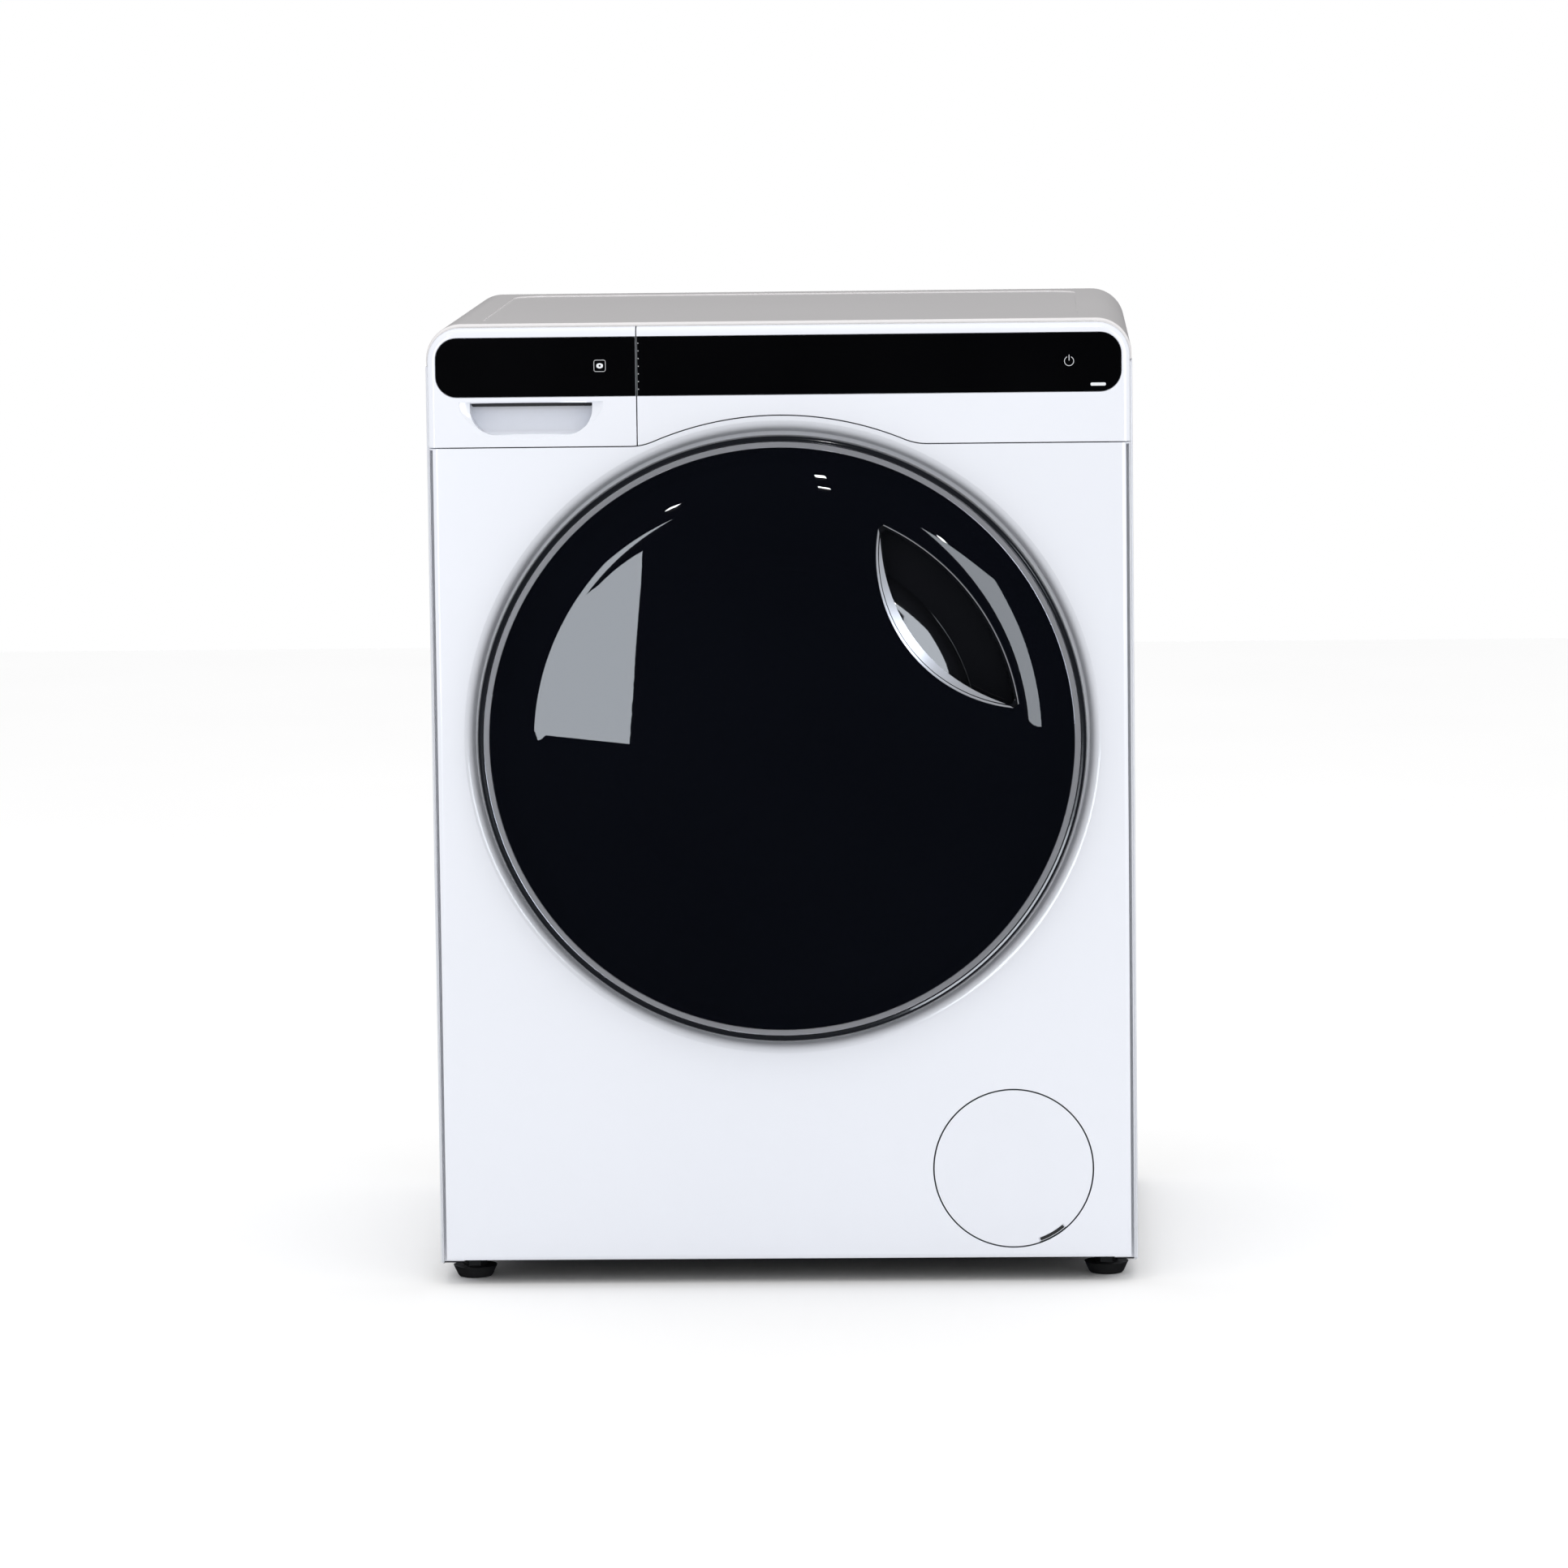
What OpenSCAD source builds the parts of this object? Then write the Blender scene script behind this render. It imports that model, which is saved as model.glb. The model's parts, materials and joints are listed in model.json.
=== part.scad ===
// Front load washing machine. Millimetres, +Z up, the front faces -Y.
// Origin: on the floor, under the middle of the machine.

/* [Overall size] */
// Outside width across the side panels
width = 600; // [500:5:720]
// Height from the floor to the top of the worktop
height = 825; // [685:5:990]
// Depth of the casing from the front panel to the rear panel
case_depth = 523; // [435:1:630]

/* [Front] */
// How far the door cover stands out from the front panel
door_bulge = 38; // [31:1:46]
// Height of the dark band across the fascia
band_height = 51; // [42:1:62]
// Width of the detergent drawer's front
drawer_width = 178; // [165:1:214]
// Width of the finger scoop in the drawer's front
scoop_width = 104; // [86:1:126]
// Radius of the round service flap
flap_radius = 67.7; // [56:0.1:82]

/* [Works] */
// Radius of the drum's wall on a machine of full size
drum_radius = 246; // [204:1:248]
// How far the drawer pulls out
drawer_travel = 220; // [180:5:260]
// Radius of each foot's pad
foot_radius = 19; // [15:0.5:23]
// Thickness of the casing's sheet steel
sheet = 1.2; // [0.9:0.1:1.5]

/* [Hidden] */
$fn = 64;
W = width / 2;
k = min(width / 600, height / 825);
spigot = 13;
fy = door_bulge - (case_depth + door_bulge + spigot) / 2;
by = fy + case_depth;
ym = (fy + by) / 2;
z0 = 17;
fascia_top = height - 3;
seam = fascia_top - band_height - 50;
arch = 276 * k;
dz = fascia_top - band_height - 24.7 - arch;
skirt = height - 35;
R = 259.5 * k;
xs = 2 - W + drawer_width;
band_z1 = fascia_top - 8;
band_z0 = band_z1 - band_height;
band_x = W - 9;
band_r = min(18.5, band_height / 2 - 4);
fr = flap_radius * k;
fx = W - 38.5 - fr;
fz = z0 + 13.3 + fr;
pk = fr / 67.7;
tub_r = 268 * k;
drum_r = drum_radius * k;
neck_r = 172 * k;
port_r = 173 * k;
xh = 12 - R;
yh = fy - 5.5;
mx = -75 * k;
mz = dz - tub_r - 78 * k;
hx0 = 22 - W;
hx1 = xs - 2;
hz0 = seam + 1;
hz1 = height - 23;
scoop_x = xs - 38 - scoop_width / 2;
scoop_top = band_z0 - 5;
ys = max(ym + 30, fy + 70 + drawer_travel + 18, ym + 64);
xsp = W - 18;
zlug = dz + 115 * k;
xdamp = 170 * k;
fillet = 50 * k;
pulley_r = 140 * k;

// A shape drawn in X and Z, drawn out along Y from y0.
module ey(y0, len) {
  translate([0, y0 + len, 0]) rotate([90, 0, 0]) linear_extrude(len) children();
}

// A profile drawn as radius and Y, turned about an axis along Y.
module turned(x, z) {
  translate([x, 0, z]) rotate([-90, 0, 0]) rotate_extrude() children();
}

// A round bar along Y.
module rod_y(x, z, r, y0, len) {
  translate([x, y0, z]) rotate([-90, 0, 0]) cylinder(r = r, h = len);
}

// A round bar along X.
module rod_x(y, z, r, x0, len) {
  translate([x0, y, z]) rotate([0, 90, 0]) cylinder(r = r, h = len);
}

module tube_y(x, z, ro, ri, y0, len) {
  difference() {
    rod_y(x, z, ro, y0, len);
    rod_y(x, z, ri, y0 - 1, len + 2);
  }
}

module block(x0, x1, y0, y1, za, zb) {
  translate([x0, y0, za]) cube([x1 - x0, y1 - y0, zb - za]);
}

// A rectangle in the plane with round corners.
module rounded(x0, x1, za, zb, r) {
  translate([x0 + r, za]) square([x1 - x0 - 2 * r, zb - za]);
  translate([x0, za + r]) square([x1 - x0, zb - za - 2 * r]);
  for (p = [[x0 + r, za + r], [x1 - r, za + r], [x0 + r, zb - r], [x1 - r, zb - r]]) {
    translate(p) circle(r);
  }
}

// Everything below the seam between the fascia and the front panel, lowered by g.
xc = sqrt(pow(arch + fillet, 2) - pow(seam + fillet - dz, 2));
xi = sqrt(arch * arch - pow(seam - dz, 2));
module below_seam(g) {
  translate([-W, 0]) square([width, seam - g]);
  translate([0, dz]) circle(arch - g);
  for (m = [0, 1]) mirror([m, 0]) difference() {
    polygon([[xi - 12, seam - g - 3], [xc, seam - g - 3], [xc, seam - g],
      [xc * arch / (arch + fillet), dz + (seam + fillet - dz) * arch / (arch + fillet)],
      [xi - 12, seam - g]]);
    translate([xc, seam + fillet]) circle(fillet + g);
  }
}

// The cabinet

module side_panel(sign) {
  mirror([sign < 0 ? 1 : 0, 0, 0]) {
    difference() {
      union() {
        block(W - sheet, W, fy + 12, by - 2, z0, skirt - 1);
        block(W - 20, W, fy + 12, fy + 12 + sheet, z0, skirt - 1);
        block(W - 20, W, by - 2 - sheet, by - 2, z0, skirt - 1);
        block(W - 20, W, fy + 12, by - 2, z0, z0 + sheet);
        block(W - 20, W, fy + 12, by - 2, skirt - 1 - sheet, skirt - 1);
        block(W - 32, W, ys - 9, ys + 9, skirt - 21, skirt - 18);
      }
      translate([xsp, ys, skirt - 30]) cylinder(r = 2.4, h = 20);
    }
    block(W - 32, W, ys - 9, ys - 7, skirt - 24, skirt - 10);
  }
}

module side_panel_left() {
  color("white") side_panel(-1);
}

module side_panel_right() {
  color("white") side_panel(1);
}

cover_z = dz - 50 * k;
module cover_outline(g) {
  rounded(-165 * k - g, 165 * k + g, cover_z - 200 * k - g, cover_z + 200 * k + g, 40 * k + g);
}

plug_x = 215 * k;
plug_z = [dz + 140 * k, dz - 210 * k];
valve_x = (hx0 + hx1) / 2 - 12;
hose_x = max(valve_x, -(tub_r - 50 * k));
valve_z = hz0 + 36;
drain_x = W - 38;

module rear_panel() {
  color("white") difference() {
    union() {
      block(-W + 1.6, W - 1.6, by - sheet, by, z0, skirt - 1);
      block(-W + 24, W - 24, by - 12, by - sheet, z0, z0 + sheet);
      block(-W + 24, W - 24, by - 12, by - sheet, skirt - 2.2, skirt - 1);
    }
    ey(by - 2, 3) cover_outline(-12);
    for (x = [-plug_x, plug_x], z = plug_z) rod_y(x, z, 8, by - 3, 6);
    rod_y(valve_x, valve_z, 14.2, by - 3, 6);
    rod_y(drain_x, fz, 12.5, by - 3, 6);
    rod_y(W - 70, valve_z, 8, by - 3, 6);
    for (x = [-W + 60 : 14 : -W + 150]) ey(by - 3, 6) rounded(x, x + 6, z0 + 60, z0 + 120, 2.9);
  }
}

module rear_cover() {
  color("gainsboro") {
    ey(by + 0.1, 1.2) cover_outline(0);
    difference() {
      ey(by + 1.2, 3) cover_outline(-24);
      ey(by, 3) cover_outline(-26);
    }
  }
}

module front_section(inset, deep) {
  difference() {
    rounded(-W + 2 + inset, W - 2 - inset, fy + inset, fy + 60, max(8 - inset, 0.5));
    translate([-W, fy + deep]) square([width, 100]);
  }
}

module front_panel() {
  color("white") {
    difference() {
      intersection() {
        union() {
          difference() {
            translate([0, 0, z0]) linear_extrude(height) front_section(0, 11);
            translate([0, 0, z0 - 1]) linear_extrude(height + 2) front_section(sheet, 12);
          }
          block(-W + 10, W - 10, fy + 0.5, fy + 11, z0, z0 + sheet);
        }
        ey(fy - 1, 20) below_seam(1);
      }
      rod_y(0, dz, 270 * k, fy - 2, 30);
      rod_y(fx, fz, fr + 1.2, fy - 2, 12);
    }
    difference() {
      turned(0, dz) translate([0, fy]) polygon([[270 * k + 0.5, 0], [270 * k, 0], [R + 3, 8], [port_r, 8],
        [port_r, 22], [port_r + sheet, 22], [port_r + sheet, 8 + sheet], [R + 3.5, 8 + sheet],
        [270 * k + 0.5, sheet]]);
      block(217 * k - 8, 217 * k + 12, fy + 5, fy + 12, dz - 13, dz + 13);
    }
  }
}

module top_section(inset) {
  translate([-W + 0.5 + inset, skirt - (inset > 0 ? 2 : 0)]) square([width - 1 - 2 * inset, 5 + inset]);
  intersection() {
    rounded(-W + 0.5 + inset, W - 0.5 - inset, height - 200, height - inset, 30 - inset);
    translate([-W, skirt - 1]) square([width, 100]);
  }
}

module top_plate() {
  color("whitesmoke") difference() {
    ey(fy + 13, case_depth - 13) top_section(0);
    ey(fy + 12, case_depth - 15) top_section(3);
    for (m = [0, 1]) mirror([m, 0, 0]) block(W - 80, W - 40, by - 4, by + 1, height - 28, height - 14);
  }
}

foot_x = W - 27;
feet_y = [fy + 45, by - 45];

module base_tray() {
  color("dimgray") difference() {
    union() {
      difference() {
        block(-W + 1.8, W - 1.8, fy + 13.8, by - 4.6, z0 + 1.6, z0 + 27);
        block(-W + 4.3, W - 4.3, fy + 16.3, by - 7.1, z0 + 4.1, z0 + 40);
      }
      for (x = [-foot_x, foot_x], y = feet_y) translate([x, y, z0 + 1.6]) cylinder(r = 13, h = 27);
      for (y = [ym - 90, ym + 90]) block(-W + 3, W - 3, y - 1.5, y + 1.5, z0 + 2, z0 + 14);
      for (x = [-90, 90]) block(x * k - 1.5, x * k + 1.5, fy + 15, by - 6, z0 + 2, z0 + 14);
      for (x = [-xdamp, xdamp]) block(x - 17, x + 17, ym - 17, ym + 17, z0 + 2, z0 + 9);
    }
    for (x = [-foot_x, foot_x], y = feet_y) translate([x, y, 0]) cylinder(r = 6.06, h = 60);
    rod_y(fx, fz, fr + 3.6, fy + 12, 17);
  }
}

module crossbars() {
  color("silver") for (y = [fy + 18, by - 48]) {
    difference() {
      block(-W + 12, W - 12, y, y + 30, height - 21.5, height - 13.5);
      block(-W + 10, W - 10, y + sheet, y + 30 - sheet, height - 30, height - 13.5 - sheet);
    }
    for (m = [0, 1]) mirror([m, 0, 0]) block(W - 18, W - 12, y, y + 30, skirt - 1, height - 20);
  }
}

// The fascia and the drawer's front share one outline, cut at xs.
module fascia_body(inset, deep) {
  intersection() {
    ey(fy - 1, 40) difference() {
      rounded(-W + 2 + inset, W - 2 - inset, seam - 60, fascia_top - inset, 28 - inset);
      below_seam(-inset);
    }
    translate([0, 0, seam - 60]) linear_extrude(400) front_section(inset, deep);
    translate([-W, 0, 0]) rotate([90, 0, 90]) linear_extrude(width) {
      rounded(fy + inset, fy + 60, seam - 60, fascia_top - inset, max(5 - inset, 0.6));
    }
  }
}

module fascia_shell(x0, x1) {
  difference() {
    intersection() {
      fascia_body(0, 12);
      block(x0, x1, fy - 1, fy + 12, 0, height);
    }
    intersection() {
      fascia_body(4, 30);
      block(x0 + 3, x1 - 3, fy - 1, fy + 30, 0, height);
    }
  }
}

module band(g, x0, x1) {
  intersection() {
    rounded(-band_x + g, band_x - g, band_z0 + g, band_z1 - g, band_r);
    translate([x0, band_z0 - 5]) square([x1 - x0, band_height + 10]);
  }
}

module control_fascia() {
  color("white") difference() {
    fascia_shell(xs + 0.5, W);
    ey(fy - 1, 3.3) band(0, xs - 2, W);
  }
}

module display_window() {
  color("black") ey(fy + 0.3, 1.9) band(0.3, xs + 0.8, W);
}

module control_boards() {
  color("seagreen") {
    block(xs + 14, W - 34, fy + 6, fy + 7.6, band_z0 + 5, band_z1 - 3);
    for (x = [xs + 40 : 48 : W - 90]) block(x, x + 22, fy + 7, fy + 11, band_z0 + 12, band_z0 + 28);
  }
  color("gray") difference() {
    block(W - 150, W - 26, fy + 56, fy + 196, seam + 17, height - 27);
    for (y = [fy + 70 : 14 : fy + 180]) block(W - 160, W - 147, y, y + 6, seam + 30, height - 40);
  }
}

tray_len = drawer_travel + 18;
outlet_y = ym + 24;
house_end = max(fy + 48 + tray_len, ym + 42);

module dispenser_housing() {
  color("lightgray") {
    difference() {
      block(hx0, hx1, fy + 14, house_end, hz0, hz1);
      block(hx0 + 2.5, hx1 - 2.5, fy + 13, house_end - 2.5, hz0 + 2.5, hz1 - 2.5);
      translate([hose_x, outlet_y, hz0 - 5]) cylinder(r = 9, h = 20);
      for (x = [valve_x, valve_x + 26]) rod_y(x, valve_z, 4, house_end - 4, 8);
    }
    difference() {
      translate([hose_x, outlet_y, hz0 - 13]) cylinder(r = 12, h = 13.5);
      translate([hose_x, outlet_y, hz0 - 15]) cylinder(r = 9, h = 20);
    }
    for (x = [valve_x, valve_x + 26]) tube_y(x, valve_z, 6, 4, house_end - 0.5, 12);
  }
}

module inlet_valve() {
  color("royalblue") {
    block(valve_x - 14, valve_x + 40, by - 52, by - 2, valve_z - 16, valve_z + 16);
    for (x = [valve_x, valve_x + 26]) {
      translate([x, by - 34, valve_z + 15]) cylinder(r = 10, h = 18);
      rod_y(x, valve_z, 6, by - 64, 13);
    }
    tube_y(valve_x, valve_z, 16, 10, by + 0.4, 2);
    difference() {
      union() {
        rod_y(valve_x, valve_z, 13.2, by - 4, spigot + 4);
      }
      rod_y(valve_x, valve_z, 9.5, by + 1, spigot);
    }
  }
}

module inlet_hose() {
  color("darkgray") for (x = [valve_x, valve_x + 26]) {
    tube_y(x, valve_z, 9, 6.1, house_end + 1, by - 53.5 - house_end);
    for (y = [house_end + 4, by - 62]) tube_y(x, valve_z, 10.5, 9, y, 5);
  }
}

tub_in_z = dz + sqrt(tub_r * tub_r - hose_x * hose_x);
hose_z0 = dz + sqrt(tub_r * tub_r - pow(hose_x + 16, 2)) + 2;

module fill_hose() {
  color("black") translate([hose_x, outlet_y, 0]) difference() {
    union() {
      translate([0, 0, hose_z0]) cylinder(r = 15.5, h = hz0 - 1 - hose_z0);
      for (z = [hose_z0 + 12 : 7 : hz0 - 16]) translate([0, 0, z]) rotate_extrude() translate([15.5, 0]) circle(2.4);
    }
    translate([0, 0, tub_in_z]) cylinder(r = 12.4, h = hz0 - tub_in_z + 10);
  }
}

pump_in_z = fz + 20 * pk;

module drain_pump() {
  color("lightslategray") {
    difference() {
      union() {
        rod_y(fx, fz, fr + 3, fy + 1.5, 26.5);
        rod_y(fx, fz, 31 * pk, fy + 26, 96);
        rod_y(fx, fz, 36 * pk, fy + 122, 44);
        rod_x(fy + 100, pump_in_z, 14.6, fx - 34 * pk - 12, 30);
        rod_x(fy + 105, fz, 9.6, fx + 20, drain_x - fx - 44);
        block(fx - 12, fx + 12, fy + 60, fy + 90, z0 + 4.1, fz - 20);
      }
      rod_y(fx, fz, fr + 1.2, fy, 26);
      rod_y(fx, fz, 26 * pk + 0.06, fy + 20, 72);
      rod_x(fy + 100, pump_in_z, 11.6, fx - 34 * pk - 14, 34 * pk + 4);
    }
  }
}

module elbow(R0, ro, ri) {
  rotate_extrude(angle = 90) translate([R0, 0]) difference() {
    circle(ro);
    circle(ri);
  }
}

sump_x = 70 * k;
sump_bend = 50 * k;
sump_z = pump_in_z + sump_bend;
sump_top = dz - sqrt(tub_r * tub_r - sump_x * sump_x);

module sump_hose() {
  color("black") {
    translate([sump_x + sump_bend, fy + 100, sump_z]) rotate([90, 0, 0]) rotate([0, 0, 180]) elbow(sump_bend, 18, 15);
    difference() {
      rod_x(fy + 100, pump_in_z, 18, sump_x + sump_bend, fx - 34 * pk - sump_x - sump_bend - 1);
      rod_x(fy + 100, pump_in_z, 15, sump_x + sump_bend - 1, fx);
    }
    difference() {
      translate([sump_x, fy + 100, sump_z]) cylinder(r = 18, h = sump_top - 8 - sump_z);
      translate([sump_x, fy + 100, sump_z - 1]) cylinder(r = 15, h = sump_top - sump_z);
    }
  }
}

drain_x0 = round(10 * (fx + 31 * pk + 1)) / 10;

module drain_hose() {
  color("dimgray") {
    difference() {
      rod_x(fy + 105, fz, 12.5, drain_x0, drain_x - 25 - drain_x0);
      rod_x(fy + 105, fz, 9.8, fx, drain_x);
    }
    translate([drain_x - 25, fy + 130, fz]) rotate([0, 0, -90]) elbow(25, 12.5, 9.8);
    tube_y(drain_x, fz, 12.5, 9.8, fy + 130, by - 20 - fy - 130);
    tube_y(drain_x, fz, 15, 7, by - 20, 17.5);
    tube_y(drain_x, fz, 10.5, 7, by - 4, spigot + 4);
    tube_y(drain_x, fz, 15, 10.4, by + 0.4, 2);
  }
}

module pressure_switch() {
  color("white") {
    rod_x(fy + 44, seam - 34, 22, W - 28, 24);
    translate([W - 14, fy + 44, seam - 66]) cylinder(r = 4, h = 20);
  }
  color("black") {
    translate([W - 14, fy + 44, fz + 26]) cylinder(r = 3, h = seam - 66 - fz - 26);
    translate([W - 26, fy + 44, fz + 26]) rotate([90, 0, 0]) rotate([0, 0, -90]) rotate_extrude(angle = 90)
      translate([12, 0]) circle(3);
    rod_x(fy + 44, fz + 14, 3, fx + 29.5 * pk, W - 26 - fx - 29.5 * pk);
  }
}

lip_r = 152.5 * k;
module door_gasket() {
  fold = [[port_r - 0.4, 6], [port_r - 0.4, 24], [port_r + 9, 29], [port_r + 9, 37], [port_r + 1, 42],
    [port_r + 1, 48], [port_r + 9, 53], [port_r + 9, 59], [neck_r + 2.8, 63], [neck_r + 2.8, 72]];
  color("gray") turned(0, dz) translate([0, fy]) {
    polygon(concat(fold, [for (i = [len(fold) - 1 : -1 : 0]) fold[i] - [2.4, 0]]));
    polygon([[port_r - 1.5, 9], [port_r - 1.5, 12], [lip_r + 1.5, 21], [lip_r, 19], [lip_r + 0.5, 16]]);
  }
}

lock_x = 217 * k;
module door_lock() {
  color("dimgray") difference() {
    block(lock_x - 14, lock_x + 24, fy + 8.2 + sheet, fy + 31, dz - 34, dz + 34);
    block(lock_x - 11, lock_x + 14, fy + 8, fy + 27, dz - 13, dz + 13);
  }
}

module hinge_bracket() {
  color("silver") difference() {
    union() {
      for (z = [-37.5, 27.5]) translate([0, 0, dz + z]) {
        translate([xh, yh, 0]) cylinder(r = 4.5, h = 10);
        block(xh, xh + 24, yh - 2.2, yh + 2.2, 0, 10);
        block(xh + 19, xh + 24, yh, fy + 8, 0, 10);
      }
      block(xh + 12, xh + 44, fy + 5.6, fy + 7.9, dz - 39, dz + 39);
      translate([xh, yh, dz - 38.5]) cylinder(r = 2.5, h = 77);
    }
  }
}

module transit_plugs() {
  color("gray") for (x = [-plug_x, plug_x], z = plug_z) {
    rod_y(x, z, 13, by + 0.1, 3);
    rod_y(x, z, 7.8, by - 9, 10);
  }
}

module screw_head(x, y, z) {
  difference() {
    rod_y(x, z, 4.2, y, 2.4);
    block(x - 2.6, x + 2.6, y + 1.2, y + 3, z - 0.5, z + 0.5);
    block(x - 0.5, x + 0.5, y + 1.2, y + 3, z - 2.6, z + 2.6);
  }
}

module panel_screws() {
  color("silver") {
    for (x = [-W + 12, W - 12], z = [z0 + 20, z0 + 0.36 * (skirt - z0), skirt - 0.32 * (skirt - z0), skirt - 18]) {
      screw_head(x, by + 0.1, z);
    }
    for (x = [-80 * k, 80 * k]) screw_head(x, by + 0.1, skirt - 12);
    for (x = [-155 * k, 155 * k], z = [-160 * k, 0, 160 * k]) screw_head(x, by + 1.35, cover_z + z);
  }
}

module wiring_loom() {
  loom_z = fz + 40;
  color("white") {
    rod_y(W - 27, height - 33, 4, fy + 196, by - 72 - fy - 196);
    translate([W - 27, by - 72, height - 45]) rotate([90, 0, 90]) rotate_extrude(angle = 90) translate([12, 0]) circle(4);
    translate([W - 27, by - 60, loom_z + 12]) cylinder(r = 4, h = height - 57 - loom_z);
    translate([W - 39, by - 60, loom_z + 12]) rotate([90, 0, 0]) rotate([0, 0, -90]) rotate_extrude(angle = 90)
      translate([12, 0]) circle(4);
    rod_x(by - 60, loom_z, 4, 30, W - 69);
    block(14, 32, by - 70, by - 50, loom_z - 9, loom_z + 9);
    block(18, 28, by - 66, by - 54, z0 + 4.1, loom_z - 8);
  }
}

damp_z0 = z0 + 9;
damp_top = dz - sqrt(tub_r * tub_r - pow(xdamp + 10, 2));
damp_cut = damp_z0 + (damp_top - damp_z0) * 0.58;
module damper_cylinders() {
  color("gray") for (x = [-xdamp, xdamp]) translate([x, ym, 0]) difference() {
    union() {
      translate([0, 0, damp_z0]) cylinder(r = 13, h = damp_cut - damp_z0);
      translate([0, 0, damp_cut - 8]) cylinder(r = 15.5, h = 8);
    }
    translate([0, 0, damp_z0 + 12]) cylinder(r = 9.06, h = 400);
  }
}

module damper_rods() {
  color("silver") difference() {
    for (x = [-xdamp, xdamp]) translate([x, ym, 0]) {
      translate([0, 0, damp_cut - 44]) cylinder(r = 9, h = 34);
      translate([0, 0, damp_cut - 12]) cylinder(r = 5, h = damp_top - damp_cut);
      translate([-9, -5.5, damp_top - 38]) cube([18, 11, 30]);
    }
    rod_y(0, dz, tub_r + 8.05, ym - 20, 40);
  }
}

coil_r = 9;
coil_top = skirt - 27;
coil_bottom = zlug + 15;
module suspension_springs() {
  color("silver") for (x = [-xsp, xsp]) translate([x, ys, 0]) {
    turns = floor((coil_top - coil_bottom) / 9);
    for (n = [0 : turns]) {
      translate([0, 0, coil_bottom + n * (coil_top - coil_bottom) / turns]) rotate_extrude() translate([coil_r, 0]) circle(1.5);
    }
    translate([coil_r, 0, coil_bottom]) cylinder(r = 1, h = coil_top - coil_bottom);
    for (z = [coil_bottom - 1.5, coil_top - 1.5]) translate([0, 0, z]) cylinder(r = coil_r, h = 3);
    translate([0, 0, coil_top]) cylinder(r = 2, h = skirt - 17 - coil_top);
    translate([0, 0, skirt - 17.7]) cylinder(r = 4, h = 2.5);
    translate([0, 0, zlug - 8]) cylinder(r = 2, h = coil_bottom - zlug + 8);
    translate([0, 0, zlug - 9.5]) cylinder(r = 4, h = 3);
  }
}

// Feet

module foot(x, y) {
  color([0.08, 0.08, 0.08]) translate([x, y, 0]) {
    cylinder(r1 = foot_radius * 0.74, r2 = foot_radius * 0.8, h = 2);
    translate([0, 0, 2]) cylinder(r1 = foot_radius * 0.8, r2 = foot_radius, h = 7.5);
    translate([0, 0, 9.5]) cylinder(r = 10.5, h = 5.5, $fn = 6);
    cylinder(r = 6, h = 52);
  }
}

module foot_front_left() {
  foot(-foot_x, feet_y[0]);
}

module foot_front_right() {
  foot(foot_x, feet_y[0]);
}

module foot_rear_left() {
  foot(-foot_x, feet_y[1]);
}

module foot_rear_right() {
  foot(foot_x, feet_y[1]);
}

// The tub, hung on springs

tub_y0 = fy + 74;
tub_y1 = by - 84;
module under_housing() {
  block(-W, hx1 + 4, ym - 8, ym + 8, hz0 - 8.8, hz0 + 60);
}

module tub_front() {
  color("lightgray") {
    difference() {
      turned(0, dz) polygon([[neck_r - 5, fy + 52], [neck_r, fy + 52], [neck_r, tub_y0], [tub_r, tub_y0],
        [tub_r, ym - 6], [tub_r + 8, ym - 6], [tub_r + 8, ym - 0.1], [tub_r - 4, ym - 0.1],
        [tub_r - 4, tub_y0 + 4], [neck_r - 5, tub_y0 + 4]]);
      under_housing();
    }
    for (a = [0 : 15 : 359]) translate([0, 0, dz]) rotate([0, a, 0]) {
      block(-1.5, 1.5, tub_y0 + 50, ym - 5, tub_r - 1, tub_r + 4);
    }
    difference() {
      translate([sump_x, fy + 100, sump_top - 20]) cylinder(r = 14.5, h = 50);
      rod_y(0, dz, tub_r - 2, fy, case_depth);
      translate([sump_x, fy + 100, sump_top - 21]) cylinder(r = 11, h = 20);
    }
  }
}

hub_r = 42 * k;
shaft_r = 15;
module tub_rear() {
  color("lightgray") difference() {
    union() {
      turned(0, dz) polygon([[31.05, by - 91], [hub_r, by - 91], [hub_r, by - 90], [tub_r - 4, by - 90],
        [tub_r - 4, ym + 0.1], [tub_r + 8, ym + 0.1], [tub_r + 8, ym + 6], [tub_r, ym + 6], [tub_r, tub_y1],
        [hub_r, tub_y1], [hub_r, by - 56], [31.05, by - 56]]);
      for (a = [0 : 30 : 359]) translate([0, 0, dz]) rotate([0, a + 15, 0]) {
        block(-2, 2, tub_y1 - 1, tub_y1 + 14, hub_r - 2, tub_r - 6);
      }
      difference() {
        union() {
          for (m = [0, 1]) mirror([m, 0, 0]) {
            block(tub_r * 0.8, W - 9, ys - 9, ys + 9, zlug - 6, zlug);
            block(tub_r * 0.8, W - 24, ys - 9, ys - 6, zlug - 30 * k, zlug - 5);
          }
          block(mx - 16, mx + 16, by - 190, by - 170, mz + 40 * k, mz + 110 * k);
          block(mx - 16, mx + 16, by - 100, by - 84, mz + 40 * k, mz + 110 * k);
          translate([hose_x, outlet_y, tub_in_z - 30]) cylinder(r = 12, h = hose_z0 - tub_in_z + 42);
        }
        rod_y(0, dz, tub_r - 3, fy, case_depth);
      }
    }
    under_housing();
    rod_y(mx, mz, 56 * k + 0.2, fy, case_depth);
    for (x = [-xsp, xsp]) translate([x, ys, zlug - 20]) cylinder(r = 2.6, h = 40);
    for (x = [-22, 22]) rod_y(x * k, dz - 255 * k, 4.15, by - 100, 40);
    translate([hose_x, outlet_y, tub_in_z - 60]) cylinder(r = 9, h = 140);
  }
}

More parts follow.
